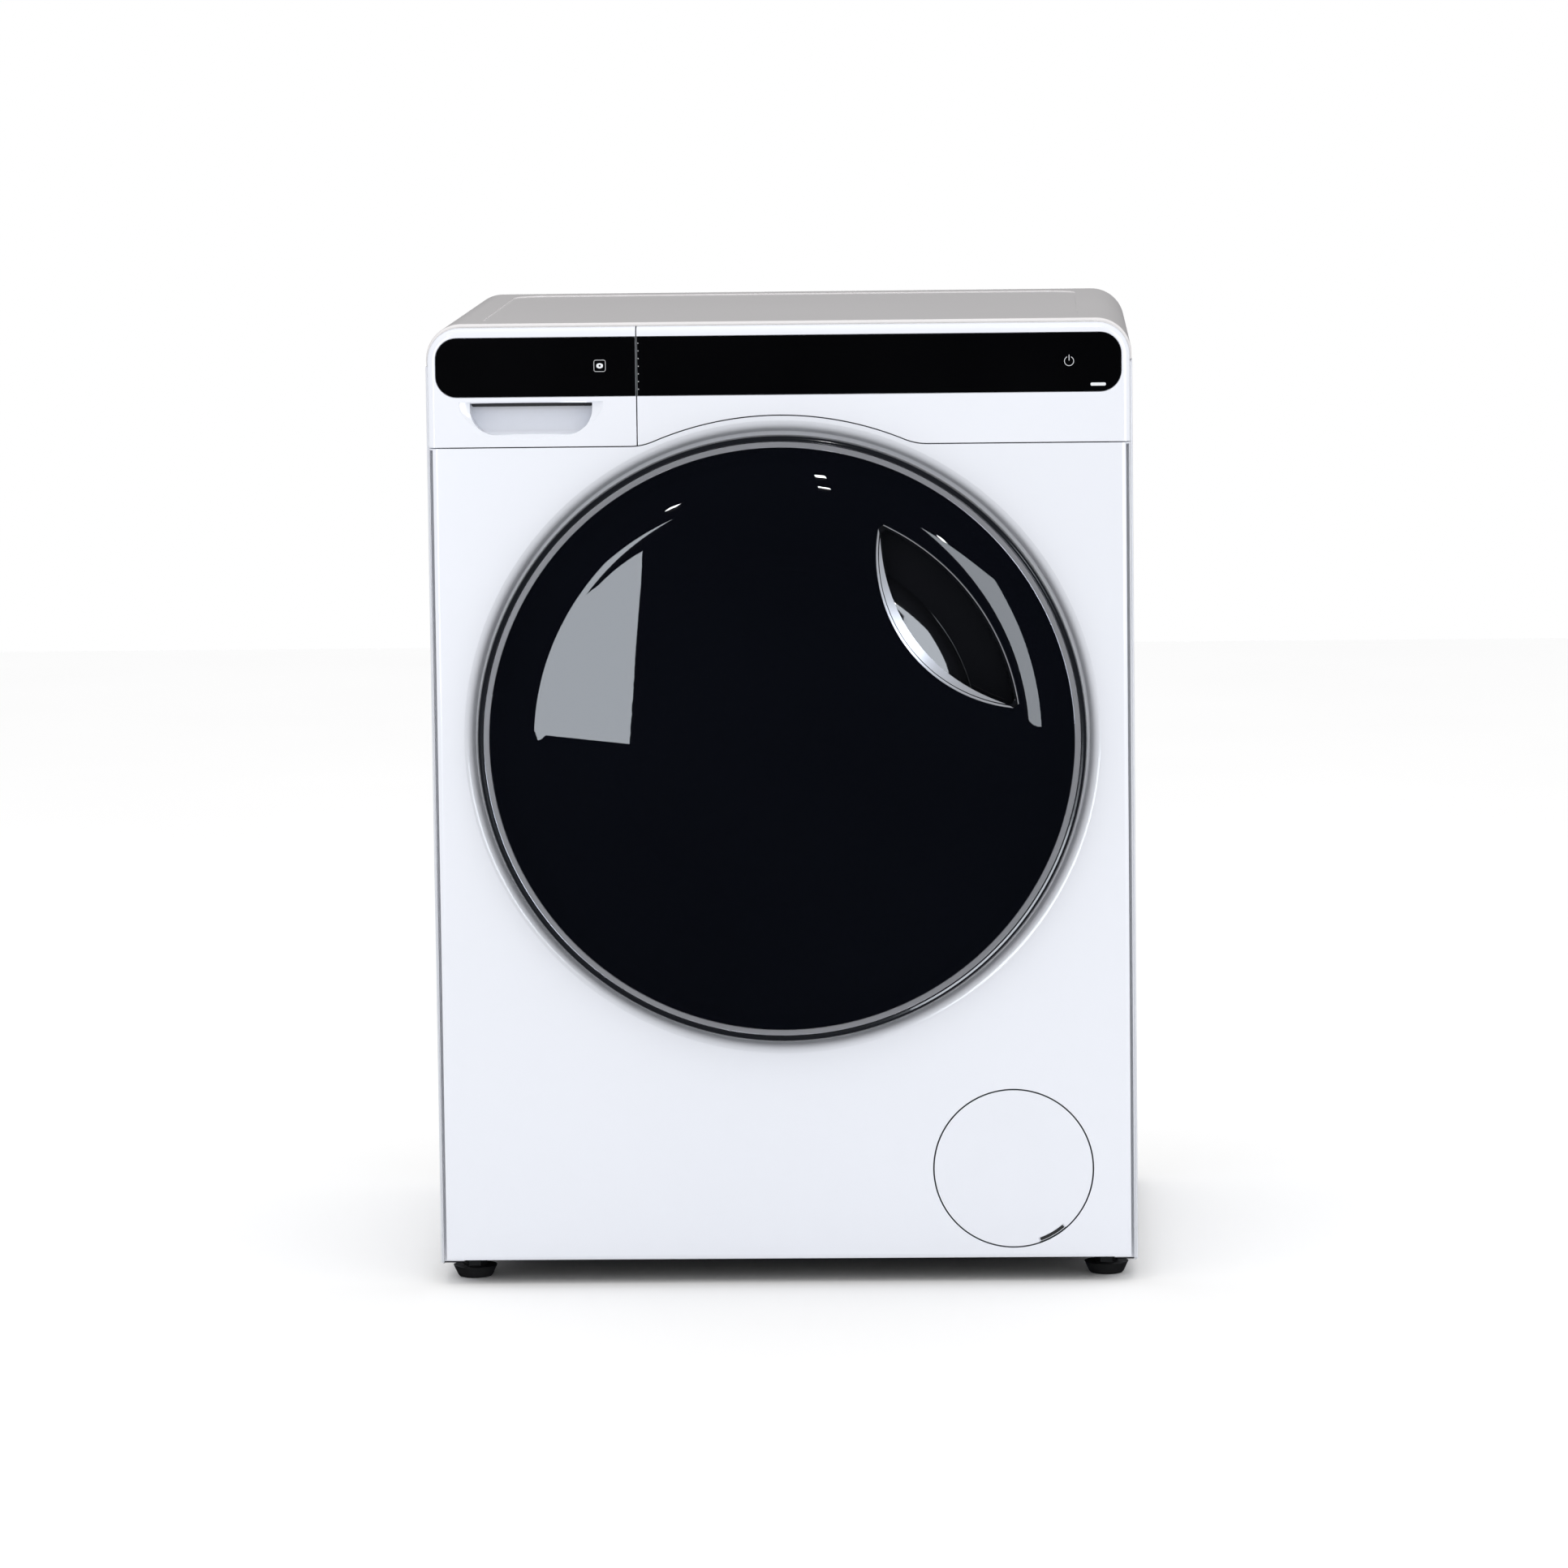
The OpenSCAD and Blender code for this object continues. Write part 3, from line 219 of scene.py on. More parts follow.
class Finishes:
    """Every finish on the machine, by the record's material slot."""

    def __init__(self) -> None:
        f, g = Finish, Grain
        rows = [
            f("front_paint", (0.84, 0.865, 0.93), g.ENAMEL, 0.22, coat=0.4, drift=0.012, bump=0.03),
            f("cabinet_paint", (0.80, 0.82, 0.87), g.ENAMEL, 0.34, coat=0.15, drift=0.01, bump=0.02),
            f("rear_steel", (0.62, 0.63, 0.64), g.ENAMEL, 0.42, drift=0.05, bump=0.06),
            f("rear_plastic", (0.66, 0.66, 0.67), g.MOULDED, 0.5, drift=0.03),
            f("worktop", (0.80, 0.785, 0.79), g.ENAMEL, 0.30, coat=0.25, drift=0.012, bump=0.02),
            f("base_plastic", (0.03, 0.03, 0.033), g.MOULDED, 0.55, drift=0.15),
            f("galvanised", (0.55, 0.57, 0.58), g.CONCRETE, 0.42, metal=0.9, drift=0.12, bump=0.05),
            f("fascia_white", (0.86, 0.885, 0.95), g.GLOSS, 0.16, coat=0.5, drift=0.01, bump=0.015),
            f("window_black", (0.0012, 0.0012, 0.0014), g.GLOSS, 0.05, drift=0.3, bump=0.01),
            f("board_green", (0.03, 0.16, 0.07), g.BOARD, 0.45, drift=0.4, bump=0.3),
            f("housing_plastic", (0.60, 0.61, 0.63), g.MOULDED, 0.45),
            f("valve_blue", (0.06, 0.17, 0.42), g.MOULDED, 0.42, drift=0.08),
            f("hose_grey", (0.16, 0.165, 0.175), g.RUBBER, 0.6, drift=0.12),
            f("hose_black", (0.012, 0.012, 0.013), g.RUBBER, 0.6, drift=0.2, bump=0.2),
            f("pump_plastic", (0.22, 0.25, 0.29), g.MOULDED, 0.45),
            f("switch_plastic", (0.75, 0.75, 0.72), g.MOULDED, 0.4),
            f("gasket_rubber", (0.20, 0.205, 0.22), g.RUBBER, 0.55, drift=0.08, bump=0.15),
            f("lock_plastic", (0.02, 0.02, 0.022), g.MOULDED, 0.5, drift=0.15),
            f("hinge_steel", (0.58, 0.59, 0.60), g.BRUSHED, 0.3, metal=1.0, bump=0.1),
            f("plug_plastic", (0.40, 0.40, 0.41), g.MOULDED, 0.5),
            f("screw_steel", (0.66, 0.66, 0.67), g.BRUSHED, 0.22, metal=1.0, bump=0.05),
            f("loom_sleeve", (0.58, 0.58, 0.57), g.RUBBER, 0.7, drift=0.1, bump=0.4),
            f("damper_plastic", (0.05, 0.052, 0.06), g.MOULDED, 0.5),
            f("spring_steel", (0.32, 0.33, 0.35), g.BRUSHED, 0.3, metal=1.0),
            f("tub_plastic", (0.50, 0.51, 0.52), g.MOULDED, 0.5, drift=0.06),
            f("concrete", (0.30, 0.295, 0.28), g.CONCRETE, 0.9, drift=0.2, bump=0.7),
            f("heater_steel", (0.5, 0.49, 0.48), g.BRUSHED, 0.35, metal=1.0),
            f("bearing_steel", (0.62, 0.63, 0.65), g.BRUSHED, 0.2, metal=1.0),
            f("motor_metal", (0.42, 0.43, 0.45), g.CAST, 0.45, metal=0.9, bump=0.25),
            f("belt_rubber", (0.012, 0.012, 0.012), g.RUBBER, 0.65, drift=0.2),
            f("rod_steel", (0.62, 0.63, 0.65), g.BRUSHED, 0.18, metal=1.0),
            f("drum_steel", (0.62, 0.63, 0.645), g.BRUSHED, 0.26, metal=1.0, drift=0.06, bump=0.05),
            f("lifter_plastic", (0.66, 0.67, 0.69), g.GLOSS, 0.3),
            f("spider_aluminium", (0.48, 0.49, 0.50), g.CAST, 0.5, metal=0.95, bump=0.3),
            f("pulley_aluminium", (0.58, 0.59, 0.60), g.BRUSHED, 0.33, metal=1.0),
            f("rotor_steel", (0.55, 0.55, 0.57), g.BRUSHED, 0.25, metal=1.0),
            f("ring_grey", (0.010, 0.011, 0.014), g.GLOSS, 0.12, coat=0.5, drift=0.08, bump=0.02),
            f("ring_chrome", (0.60, 0.61, 0.65), g.CHROME, 0.12, metal=0.6, drift=0.02, bump=0.01),
            f("cover_black", (0.0025, 0.003, 0.005), g.TINT, 0.0, drift=0.1, bump=0.0),
            f("cup_black", (0.006, 0.0065, 0.008), g.GLOSS, 0.08, coat=0.6, drift=0.2, bump=0.01),
            f("door_frame_plastic", (0.09, 0.093, 0.10), g.MOULDED, 0.42),
            f("bowl_glass", (0.30, 0.34, 0.35), g.GLASS, 0.02, drift=0.02, bump=0.01),
            f("hook_steel", (0.55, 0.55, 0.57), g.BRUSHED, 0.25, metal=1.0),
            f("tray_plastic", (0.60, 0.66, 0.74), g.GLOSS, 0.3),
            f("flap_white", (0.84, 0.865, 0.93), g.GLOSS, 0.2, coat=0.4, drift=0.012, bump=0.02),
            f("filter_plastic", (0.10, 0.18, 0.30), g.MOULDED, 0.42),
            f("foot_rubber", (0.010, 0.010, 0.010), g.RUBBER, 0.6, drift=0.2, bump=0.2),
            f("print_white", (0.80, 0.82, 0.85), g.GLOSS, 0.4, drift=0.02),
            f("bevel_bright", (0.62, 0.64, 0.69), g.CHROME, 0.18, metal=0.55, drift=0.03, bump=0.01),
            f("seam_shadow", (0.02, 0.02, 0.022), g.MOULDED, 0.8, drift=0.1),
        ]
        self.rows = {row.name: row for row in rows}

    def get(self, name: str) -> bpy.types.Material:
        """The material of a slot.

        Args:
            name: the slot.
        Returns:
            The built material.
        """
        return self.rows[name].build()


FINISHES = Finishes()


class Edit:
    """A mesh piece being modelled. Each step is an operator run on faces, edges or points picked in code."""

    def __init__(self, name: str) -> None:
        self.name = name
        self.obj: bpy.types.Object

    @staticmethod
    def alone(obj: Optional[bpy.types.Object]) -> None:
        """Leaves only obj selected and active, in object mode."""
        if bpy.context.object and bpy.context.object.mode != "OBJECT":
            bpy.ops.object.mode_set(mode="OBJECT")
        for other in list(bpy.context.selected_objects):
            other.select_set(False)
        if obj is not None:
            bpy.context.view_layer.objects.active = obj
            obj.select_set(True)

    def _take(self) -> "Edit":
        self.obj = bpy.context.object
        self.obj.name = self.obj.data.name = self.name
        self.apply()
        return self

    def apply(self) -> "Edit":
        """Puts the object's place, turn and scale into its points."""
        self.alone(self.obj)
        bpy.ops.object.transform_apply(location=True, rotation=True, scale=True)
        return self

    def path(self, points: Sequence[Point3], closed: bool = False) -> "Edit":
        """A chain of edges through the points, drawn out one by one.

        Args:
            points: the points, in metres.
            closed: whether the last joins the first.
        """
        self.alone(None)
        bpy.ops.mesh.primitive_plane_add(size=0.001, location=(0, 0, 0))
        self._take()
        bpy.ops.object.mode_set(mode="EDIT")
        bpy.ops.mesh.select_mode(type="VERT")
        bpy.ops.mesh.select_all(action="SELECT")
        bpy.ops.mesh.merge(type="CENTER")
        last = Vector(points[0])
        bpy.ops.transform.translate(value=last)
        for point in points[1:]:
            step = Vector(point) - last
            bpy.ops.mesh.extrude_vertices_move(TRANSFORM_OT_translate={"value": step})
            last = Vector(point)
        bpy.ops.mesh.select_all(action="DESELECT")
        if closed:
            bpy.ops.object.mode_set(mode="OBJECT")
            for v in self.obj.data.vertices:
                v.select = v.index in (0, len(points) - 1)
            bpy.ops.object.mode_set(mode="EDIT")
            bpy.ops.mesh.edge_face_add()
        bpy.ops.object.mode_set(mode="OBJECT")
        return self

    def _close(self, seal: bool = True) -> "Edit":
        bpy.ops.mesh.select_all(action="SELECT")
        bpy.ops.mesh.remove_doubles(threshold=0.000005)
        if seal:
            bpy.ops.mesh.normals_make_consistent(inside=False)
        bpy.ops.object.mode_set(mode="OBJECT")
        return self

    def lathe(self, profile: Sequence[Point], centre: Point, steps: int = 128, closed: bool = True) -> "Edit":
        """A profile of (radius, y) turned about an axis along Y.

        Args:
            profile: the points of the profile.
            centre: x and z of the axis.
            steps: steps in a full turn.
            closed: whether the profile is a closed loop.
        """
        x, z = centre
        points = list(profile)
        axial = [i for i in range(len(points)) if points[i - 1][0] < 1e-9 and points[i][0] < 1e-9]
        if closed and axial:
            points = points[axial[0]:] + points[:axial[0]]
            closed = False
        if len(points) == 4:
            points.insert(1, ((points[0][0] + points[1][0]) / 2, (points[0][1] + points[1][1]) / 2))
        self.path([(x + r, y, z) for r, y in points], closed)
        bpy.ops.object.mode_set(mode="EDIT")
        bpy.ops.mesh.select_all(action="SELECT")
        bpy.ops.mesh.spin(steps=steps, angle=math.tau, center=(x, 0, z), axis=(0, 1, 0))
        return self._close()

    def prism(self, outline: Sequence[Point], y0: float, y1: float) -> "Edit":
        """An outline in X and Z drawn out from y0 to y1."""
        self.path([(x, y0, z) for x, z in outline], True)
        bpy.ops.object.mode_set(mode="EDIT")
        bpy.ops.mesh.select_all(action="SELECT")
        bpy.ops.mesh.edge_face_add()
        bpy.ops.mesh.extrude_region_move(TRANSFORM_OT_translate={"value": (0, y1 - y0, 0)})
        return self._close()

    def slab(self, outline: Sequence[Point], z0: float, z1: float) -> "Edit":
        """An outline in X and Y drawn up from z0 to z1."""
        self.path([(x, y, z0) for x, y in outline], True)
        bpy.ops.object.mode_set(mode="EDIT")
        bpy.ops.mesh.select_all(action="SELECT")
        bpy.ops.mesh.edge_face_add()
        bpy.ops.mesh.extrude_region_move(TRANSFORM_OT_translate={"value": (0, 0, z1 - z0)})
        return self._close()

    def cuboid(self, low: Sequence[float], high: Sequence[float]) -> "Edit":
        """A box from one corner to the other."""
        self.alone(None)
        mid = [(a + b) / 2 for a, b in zip(low, high)]
        bpy.ops.mesh.primitive_cube_add(size=1, location=mid)
        bpy.context.object.scale = [b - a for a, b in zip(low, high)]
        return self._take()

    def bar(self, start: Point3, end: Point3, radius: float, sides: int = 32) -> "Edit":
        """A round bar between two points."""
        self.alone(None)
        a, b = Vector(start), Vector(end)
        bpy.ops.mesh.primitive_cylinder_add(vertices=sides, radius=radius, depth=(b - a).length, location=(a + b) / 2)
        bpy.context.object.rotation_euler = (b - a).to_track_quat("Z", "Y").to_euler()
        return self._take()

    def tube(self, points: Sequence[Point3], radius: float, sides: int = 16) -> "Edit":
        """A solid round tube that follows the points."""
        self.path(points)
        self.alone(self.obj)
        bpy.ops.object.convert(target="CURVE")
        curve = self.obj = bpy.context.object
        curve.data.bevel_depth = radius
        curve.data.bevel_resolution = max(1, sides // 4)
        curve.data.use_fill_caps = True
        bpy.ops.object.convert(target="MESH")
        self.obj = bpy.context.object
        self.obj.name = self.obj.data.name = self.name
        bpy.ops.object.mode_set(mode="EDIT")
        return self._close()

    def slice(self, axis: int, places: Sequence[float]) -> "Edit":
        """Runs straight edges through the whole piece at places along one axis, so that no face is large.

        Args:
            axis: 0, 1 or 2.
            places: where the edges run.
        """
        normal = [float(i == axis) for i in range(3)]
        self.alone(self.obj)
        bpy.ops.object.mode_set(mode="EDIT")
        for place in places:
            bpy.ops.mesh.select_all(action="SELECT")
            bpy.ops.mesh.bisect(plane_co=[place * n for n in normal], plane_no=normal, threshold=0.00001)
        bpy.ops.object.mode_set(mode="OBJECT")
        return self

    def bevel(self, width: float, segments: int = 3, angle: float = 30.0) -> "Edit":
        """Rounds every edge sharper than angle."""
        mod = self.obj.modifiers.new("bevel", "BEVEL")
        mod.width = width
        mod.segments = segments
        mod.limit_method = "ANGLE"
        mod.angle_limit = math.radians(angle)
        mod.harden_normals = False
        return self.settle()

    def settle(self) -> "Edit":
        """Applies every modifier."""
        self.alone(self.obj)
        for mod in list(self.obj.modifiers):
            bpy.ops.object.modifier_apply(modifier=mod.name)
        return self

    def boolean(self, other: "Edit", how: str = "DIFFERENCE") -> "Edit":
        """Cuts, joins or keeps what is shared with another piece, which is then removed."""
        mod = self.obj.modifiers.new("cut", "BOOLEAN")
        mod.operation = how
        mod.object = other.obj
        mod.solver = "EXACT"
        self.settle()
        bpy.data.objects.remove(other.obj, do_unlink=True)
        return self

    def join(self, *others: "Edit") -> "Edit":
        """Joins other pieces into this one, as parts of one mesh."""
        self.alone(self.obj)
        for other in others:
            other.obj.select_set(True)
        bpy.ops.object.join()
        self.obj.name = self.obj.data.name = self.name
        return self

    def copy(self, name: str, turn: float = 0.0, centre: Point = (0.0, 0.0)) -> "Edit":
        """A copy with its own mesh, turned about an axis along Y."""
        twin = Edit(name)
        twin.obj = self.obj.copy()
        twin.obj.data = self.obj.data.copy()
        bpy.context.collection.objects.link(twin.obj)
        middle = Vector((centre[0], 0, centre[1]))
        twin.obj.data.transform(Matrix.Translation(middle) @ Matrix.Rotation(turn, 4, "Y") @ Matrix.Translation(-middle))
        twin.obj.name = twin.obj.data.name = name
        return twin

    def mirrored(self, name: str) -> "Edit":
        """A copy on the other side of the machine."""
        twin = self.copy(name)
        self.alone(twin.obj)
        bpy.ops.object.mode_set(mode="EDIT")
        bpy.ops.mesh.select_all(action="SELECT")
        bpy.ops.transform.mirror(constraint_axis=(True, False, False), center_override=(0, 0, 0))
        bpy.ops.mesh.normals_make_consistent(inside=False)
        bpy.ops.object.mode_set(mode="OBJECT")
        return twin

    def done(self, body: str, slot: str, *stands_for: str, smooth: float = 35.0, look: str = "") -> bpy.types.Object:
        """Finishes a piece: shading, material, body, slot and what it stands for.

        Args:
            body: the body it rides on.
            slot: the record's slot.
            stands_for: the exact nodes it replaces.
            smooth: angle under which edges look smooth, in degrees.
            look: another finish, where the slot's own isn't wanted.
        """
        self.alone(self.obj)
        bpy.ops.object.shade_smooth_by_angle(angle=math.radians(smooth))
        weigh = self.obj.modifiers.new("weigh", "WEIGHTED_NORMAL")
        weigh.weight = 100
        weigh.keep_sharp = True
        self.settle()
        self.obj.data.materials.clear()
        self.obj.data.materials.append(FINISHES.get(look or slot))
        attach(self.obj, body)
        if stands_for:
            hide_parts(*stands_for)
        LOG.info("piece %s on %s: %d faces", self.name, body, len(self.obj.data.polygons))
        return self.obj


def arc(cx: float, cz: float, r: float, start: float, end: float, steps: int = 12) -> list[Point]:
    """Points on a circle from start to end, in degrees.

    Args:
        cx: centre along the first axis.
        cz: centre along the second axis.
        r: radius.
        start: first angle.
        end: last angle.
        steps: number of steps.
    Returns:
        steps + 1 points.
    """
    turn = [math.radians(start + (end - start) * i / steps) for i in range(steps + 1)]
    return [(cx + r * math.cos(t), cz + r * math.sin(t)) for t in turn]


def round_box(x0: float, x1: float, z0: float, z1: float, radii: Sequence[float], steps: int = 12) -> list[Point]:
    """A rectangle with its own radius at each corner: lower left, lower right, upper right, upper left."""
    a, b, c, d = [max(r, 0.00005) for r in radii]
    out = arc(x0 + a, z0 + a, a, 180, 270, steps) + arc(x1 - b, z0 + b, b, 270, 360, steps)
    return out + arc(x1 - c, z1 - c, c, 0, 90, steps) + arc(x0 + d, z1 - d, d, 90, 180, steps)


class Assembly:
    """A group of pieces that are built together."""

    title = "assembly"

    def build(self) -> None:
        """Models the pieces."""
        raise NotImplementedError

    def run(self) -> None:
        """Builds and says so."""
        LOG.info("building %s", self.title)
        self.build()


def bevel_where(piece: Edit, chosen: Callable[[Vector, Vector], bool], width: float, segments: int) -> Edit:
    """Rounds the edges that chosen picks from their two ends.

    Args:
        piece: the piece.
        chosen: says whether an edge is to be rounded.
        width: width of the rounding.
        segments: steps across it.
    Returns:
        The piece.
    """
    piece.alone(piece.obj)
    bpy.ops.object.mode_set(mode="EDIT")
    bpy.ops.mesh.select_mode(type="EDGE")
    bpy.ops.mesh.select_all(action="DESELECT")
    bpy.ops.object.mode_set(mode="OBJECT")
    mesh = piece.obj.data
    for edge in mesh.edges:
        a, b = (mesh.vertices[i].co for i in edge.vertices)
        edge.select = bool(chosen(a, b))
    picked = sum(edge.select for edge in mesh.edges)
    if picked:
        bpy.ops.object.mode_set(mode="EDIT")
        bpy.ops.mesh.bevel(offset=width, segments=segments, profile=0.5, affect="EDGES", clamp_overlap=True)
        bpy.ops.object.mode_set(mode="OBJECT")
    LOG.info("rounded %d edges of %s", picked, piece.name)
    return piece


def flip_up(piece: Edit, low: float, high: float) -> Edit:
    """Moves a piece turned about an upright axis so that it spans low to high, turning it over if it hangs down."""
    points = piece.obj.data.vertices
    tops = [v.co.z for v in points]
    if min(tops) < low - 1e-6 or max(tops) > high + 1e-6:
        middle = (min(tops) + max(tops)) / 2
        if middle < low:
            for v in points:
                v.co.z = 2 * low - v.co.z
            piece.obj.data.flip_normals()
        shift = low - min(v.co.z for v in points)
        for v in points:
            v.co.z += shift
    return piece


def on_outline(a: Vector, b: Vector, door: "Door", top: float) -> bool:
    """Whether an edge lies on the rim of the handle recess, on the cover's outer face."""
    for p in (a, b):
        r = math.hypot(p.x, p.z - S.door_z)
        if abs(p.y - top - door.dome(r)) > 0.0003 or r > 0.2045 or r < 0.12:
            return False
        on_big = abs(r - 0.204) < 0.0004
        on_small = abs(math.hypot(p.x - 0.213, p.z - S.door_z - 0.157) - 0.131) < 0.0004
        if not (on_big or on_small) or p.x < 0.06 or p.z < S.door_z:
            return False
    return True


class Fascia(Assembly):
    """The white fascia, the drawer's front and the dark band across both."""

    title = "fascia"

    @dataclass
    class Dims:
        """Sizes of the fascia in metres."""

        depth: float = 0.0118
        corner: float = 0.028
        edge: float = 0.0055
        gap: float = 0.0005
        rim: float = 0.0028
        band_corner: float = 0.0185
        scoop_half: float = 0.052
        scoop_deep: float = 0.027

    def __init__(self) -> None:
        self.d = self.Dims()
        self.arch = 0.276
        self.fillet = 0.050
        self.x_edge = S.half - 0.002
        self.scoop_x = S.split + 0.0005 - 0.038 - 0.052
        self.scoop_top = S.band_z[0] - 0.005

    def lower_edge(self, x0: float, x1: float) -> list[Point]:
        """The seam from left to right between x0 and x1: straight, fillet, arch, fillet, straight."""
        rise = S.seam + self.fillet - S.door_z
        xc = math.sqrt((self.arch + self.fillet) ** 2 - rise**2)
        line: list[Point] = []
        steps = 150
        for i in range(steps + 1):
            x = x0 + (x1 - x0) * i / steps
            side = abs(x)
            touch = xc * self.arch / (self.arch + self.fillet)
            if side >= xc:
                z = S.seam
            elif side > touch:
                z = S.seam + self.fillet - math.sqrt(self.fillet**2 - (side - xc) ** 2)
            else:
                z = S.door_z + math.sqrt(self.arch**2 - side**2)
            line.append((x, max(z, S.seam)))
        slim = [line[0]]
        for before, here, after in zip(line, line[1:], line[2:]):
            if abs((after[1] - here[1]) - (here[1] - before[1])) > 1e-7:
                slim.append(here)
        return slim + [line[-1]]

    def body(self, name: str, x0: float, x1: float, left: bool) -> Edit:
        """One half of the fascia as a solid with a rounded front edge.

        Args:
            name: name of the piece.
            x0: left end.
            x1: right end.
            left: whether it is the drawer's half, with its round corner at the left.
        """
        d = self.d
        low = self.lower_edge(x0, x1)
        top = S.fascia_top
        if left:
            outline = low + [(x1, top)] + arc(x0 + d.corner, top - d.corner, d.corner, 90, 180, 14)
        else:
            outline = low + arc(x1 - d.corner, top - d.corner, d.corner, 0, 90, 14) + [(x0, top)]
        piece = Edit(name).prism(outline, S.front, S.front + d.depth)
        outer = x0 if left else x1

        def soft(a: Vector, b: Vector) -> bool:
            mid = (a + b) / 2
            upper = mid.z > top - d.corner - 0.001
            side = abs(mid.x - outer) < d.corner and mid.z > S.seam + 0.0001
            return a.y < S.front + 1e-6 and b.y < S.front + 1e-6 and (upper or side) and abs(mid.x - (x1 if left else x0)) > 1e-5

        bevel_where(piece, soft, d.edge, 6)
        bevel_where(piece, lambda a, b: a.y < S.front + 1e-6 and b.y < S.front + 1e-6 and (a - b).length > 1e-6, 0.0006, 2)
        piece.slice(0, [x0 + (x1 - x0) * i / 12 for i in range(1, 12)] + [outer + (0.033 if left else -0.033)])
        return piece.slice(2, [S.band_z[0] - 0.0022, S.band_z[1] + 0.0016])

    def band_outline(self, grow: float, x0: float, x1: float) -> list[Point]:
        """The dark band between x0 and x1, grown by grow, square where it is cut by the split."""
        end = S.half - 0.009 + grow
        z0, z1 = S.band_z[0] - grow, S.band_z[1] + grow
        r = self.d.band_corner + grow
        left, right = max(x0, -end), min(x1, end)
        return round_box(left, right, z0, z1, [r if left == -end else 0, r if right == end else 0, r if right == end else 0, r if left == -end else 0])

    def pocket(self, piece: Edit, x0: float, x1: float) -> Edit:
        """Sinks the band's seat into the fascia with a slanted rim."""
        cutter = Edit("seat").prism(self.band_outline(0.0, x0, x1), S.front - 0.004, S.front + 0.0024)
        piece.boolean(cutter)
        return bevel_where(piece, lambda a, b: a.y < S.front + 1e-6 and b.y < S.front + 1e-6
                           and S.band_z[0] - 0.001 < a.z < S.band_z[1] + 0.001
                           and S.band_z[0] - 0.001 < b.z < S.band_z[1] + 0.001
                           and abs(a.x) < S.half - 0.0085 and abs(b.x) < S.half - 0.0085, 0.0008, 2)

    def glass(self, name: str, x0: float, x1: float, body: str, node: str) -> None:
        """The dark pane that fills one half of the band, with a softly rounded edge."""
        pane = Edit(name).prism(self.band_outline(-0.0005, x0, x1), S.front + 0.0004, S.front + 0.0022)
        pane.bevel(0.0009, 3, 50)
        pane.done(body, "window_black", node)

    def scoop(self, piece: Edit) -> Edit:
        """Cuts the finger scoop and the soft dish round it."""
        d = self.d
        dish = self._dish("dish")
        dish.boolean(Edit("below").cuboid((-1, -1, 0), (1, 1, self.scoop_top + 0.0012)), "INTERSECT")
        piece.boolean(dish)
        well = Edit("well").bar((self.scoop_x - 0.09, S.front - 0.003, self.scoop_top), (self.scoop_x + 0.09, S.front - 0.003, self.scoop_top), d.scoop_deep, 96)
        shape = Edit("shape").prism(round_box(self.scoop_x - d.scoop_half, self.scoop_x + d.scoop_half, self.scoop_top - 0.0268, self.scoop_top + 0.03, [0.022, 0.022, 0.001, 0.001]), S.front - 0.02, S.front + 0.05)
        well.boolean(shape, "INTERSECT")
        well.boolean(Edit("below").cuboid((-1, -1, 0), (1, 1, self.scoop_top)), "INTERSECT")
        return piece.boolean(well)

    def _dish(self, name: str) -> Edit:
        """A flat lens shape that meets the front in a soft curve below the scoop."""
        Edit.alone(None)
        bpy.ops.mesh.primitive_uv_sphere_add(segments=96, ring_count=48, radius=1, location=(self.scoop_x, S.front - 0.0015, self.scoop_top))
        bpy.context.object.scale = (0.0625, 0.0085, 0.0312)
        dish = Edit(name)
        dish.obj = bpy.context.object
        dish.obj.name = name
        return dish.apply()

    def drawer_half(self) -> None:
        """The drawer's front, its block behind the scoop, and a near-black strip of painted shade at the back of the
        scoop.
        """
        piece = self.body("drawer_face", -self.x_edge, S.split, True)
        block = Edit("grip").cuboid((self.scoop_x - 0.0545, S.front + 0.006, self.scoop_top - 0.0285), (self.scoop_x + 0.0545, S.front + 0.0318, self.scoop_top + 0.0024))
        piece.boolean(block, "UNION")
        self.scoop(piece)
        self.pocket(piece, -1.0, S.split + 0.01)
        piece.done("drawer", "fascia_white", "drawer_front")
        # painted shade: a near-black strip at the back of the scoop, under its ceiling, where shade falls; it is not a
        # real dark slot
        slot = Edit("drawer_scoop_painted_shade").prism(round_box(self.scoop_x - 0.0515, self.scoop_x + 0.0515, self.scoop_top - 0.0038, self.scoop_top - 0.0003, [0.0015, 0.0015, 0.0002, 0.0002]), S.front + 0.0195, S.front + 0.0236)
        slot.bevel(0.0004, 2)
        slot.done("drawer", "fascia_white", look="seam_shadow")

    def icons(self) -> None:
        """A power mark and a plain touch mark, printed behind the pane."""
        face = S.front + 0.0001
        x, z = 0.2465, S.band_z[0] + 0.0262
        ring = Edit("mark_power").lathe([(0.0041, face), (0.0037, face), (0.0037, face + 0.0003), (0.0041, face + 0.0003)], (x, z), 64)
        gap = Edit("gap").cuboid((x - 0.0016, face - 0.001, z), (x + 0.0016, face + 0.001, z + 0.006))
        ring.boolean(gap)
        ring.join(Edit("stem").cuboid((x - 0.00025, face, z + 0.0005), (x + 0.00025, face + 0.0003, z + 0.0053)))
        ring.done("cabinet", "window_black", look="print_white")
        x = S.split - 0.0305
        box = Edit("mark_load").prism(round_box(x - 0.005, x + 0.005, z - 0.005, z + 0.005, [0.0018] * 4, 6), face, face + 0.0003)
        box.boolean(Edit("hole").prism(round_box(x - 0.0047, x + 0.0047, z - 0.0047, z + 0.0047, [0.0014] * 4, 6), face - 0.001, face + 0.001))
        eye = Edit("eye").prism(arc(x, z - 0.0014, 0.0036, 40, 140, 10) + arc(x, z + 0.0014, 0.0036, 220, 320, 10), face, face + 0.0003)
        eye.boolean(Edit("pupil").prism(arc(x, z, 0.0009, 0, 342, 19), face - 0.001, face + 0.001))
        box.join(eye)
        box.done("drawer", "window_black", look="print_white")
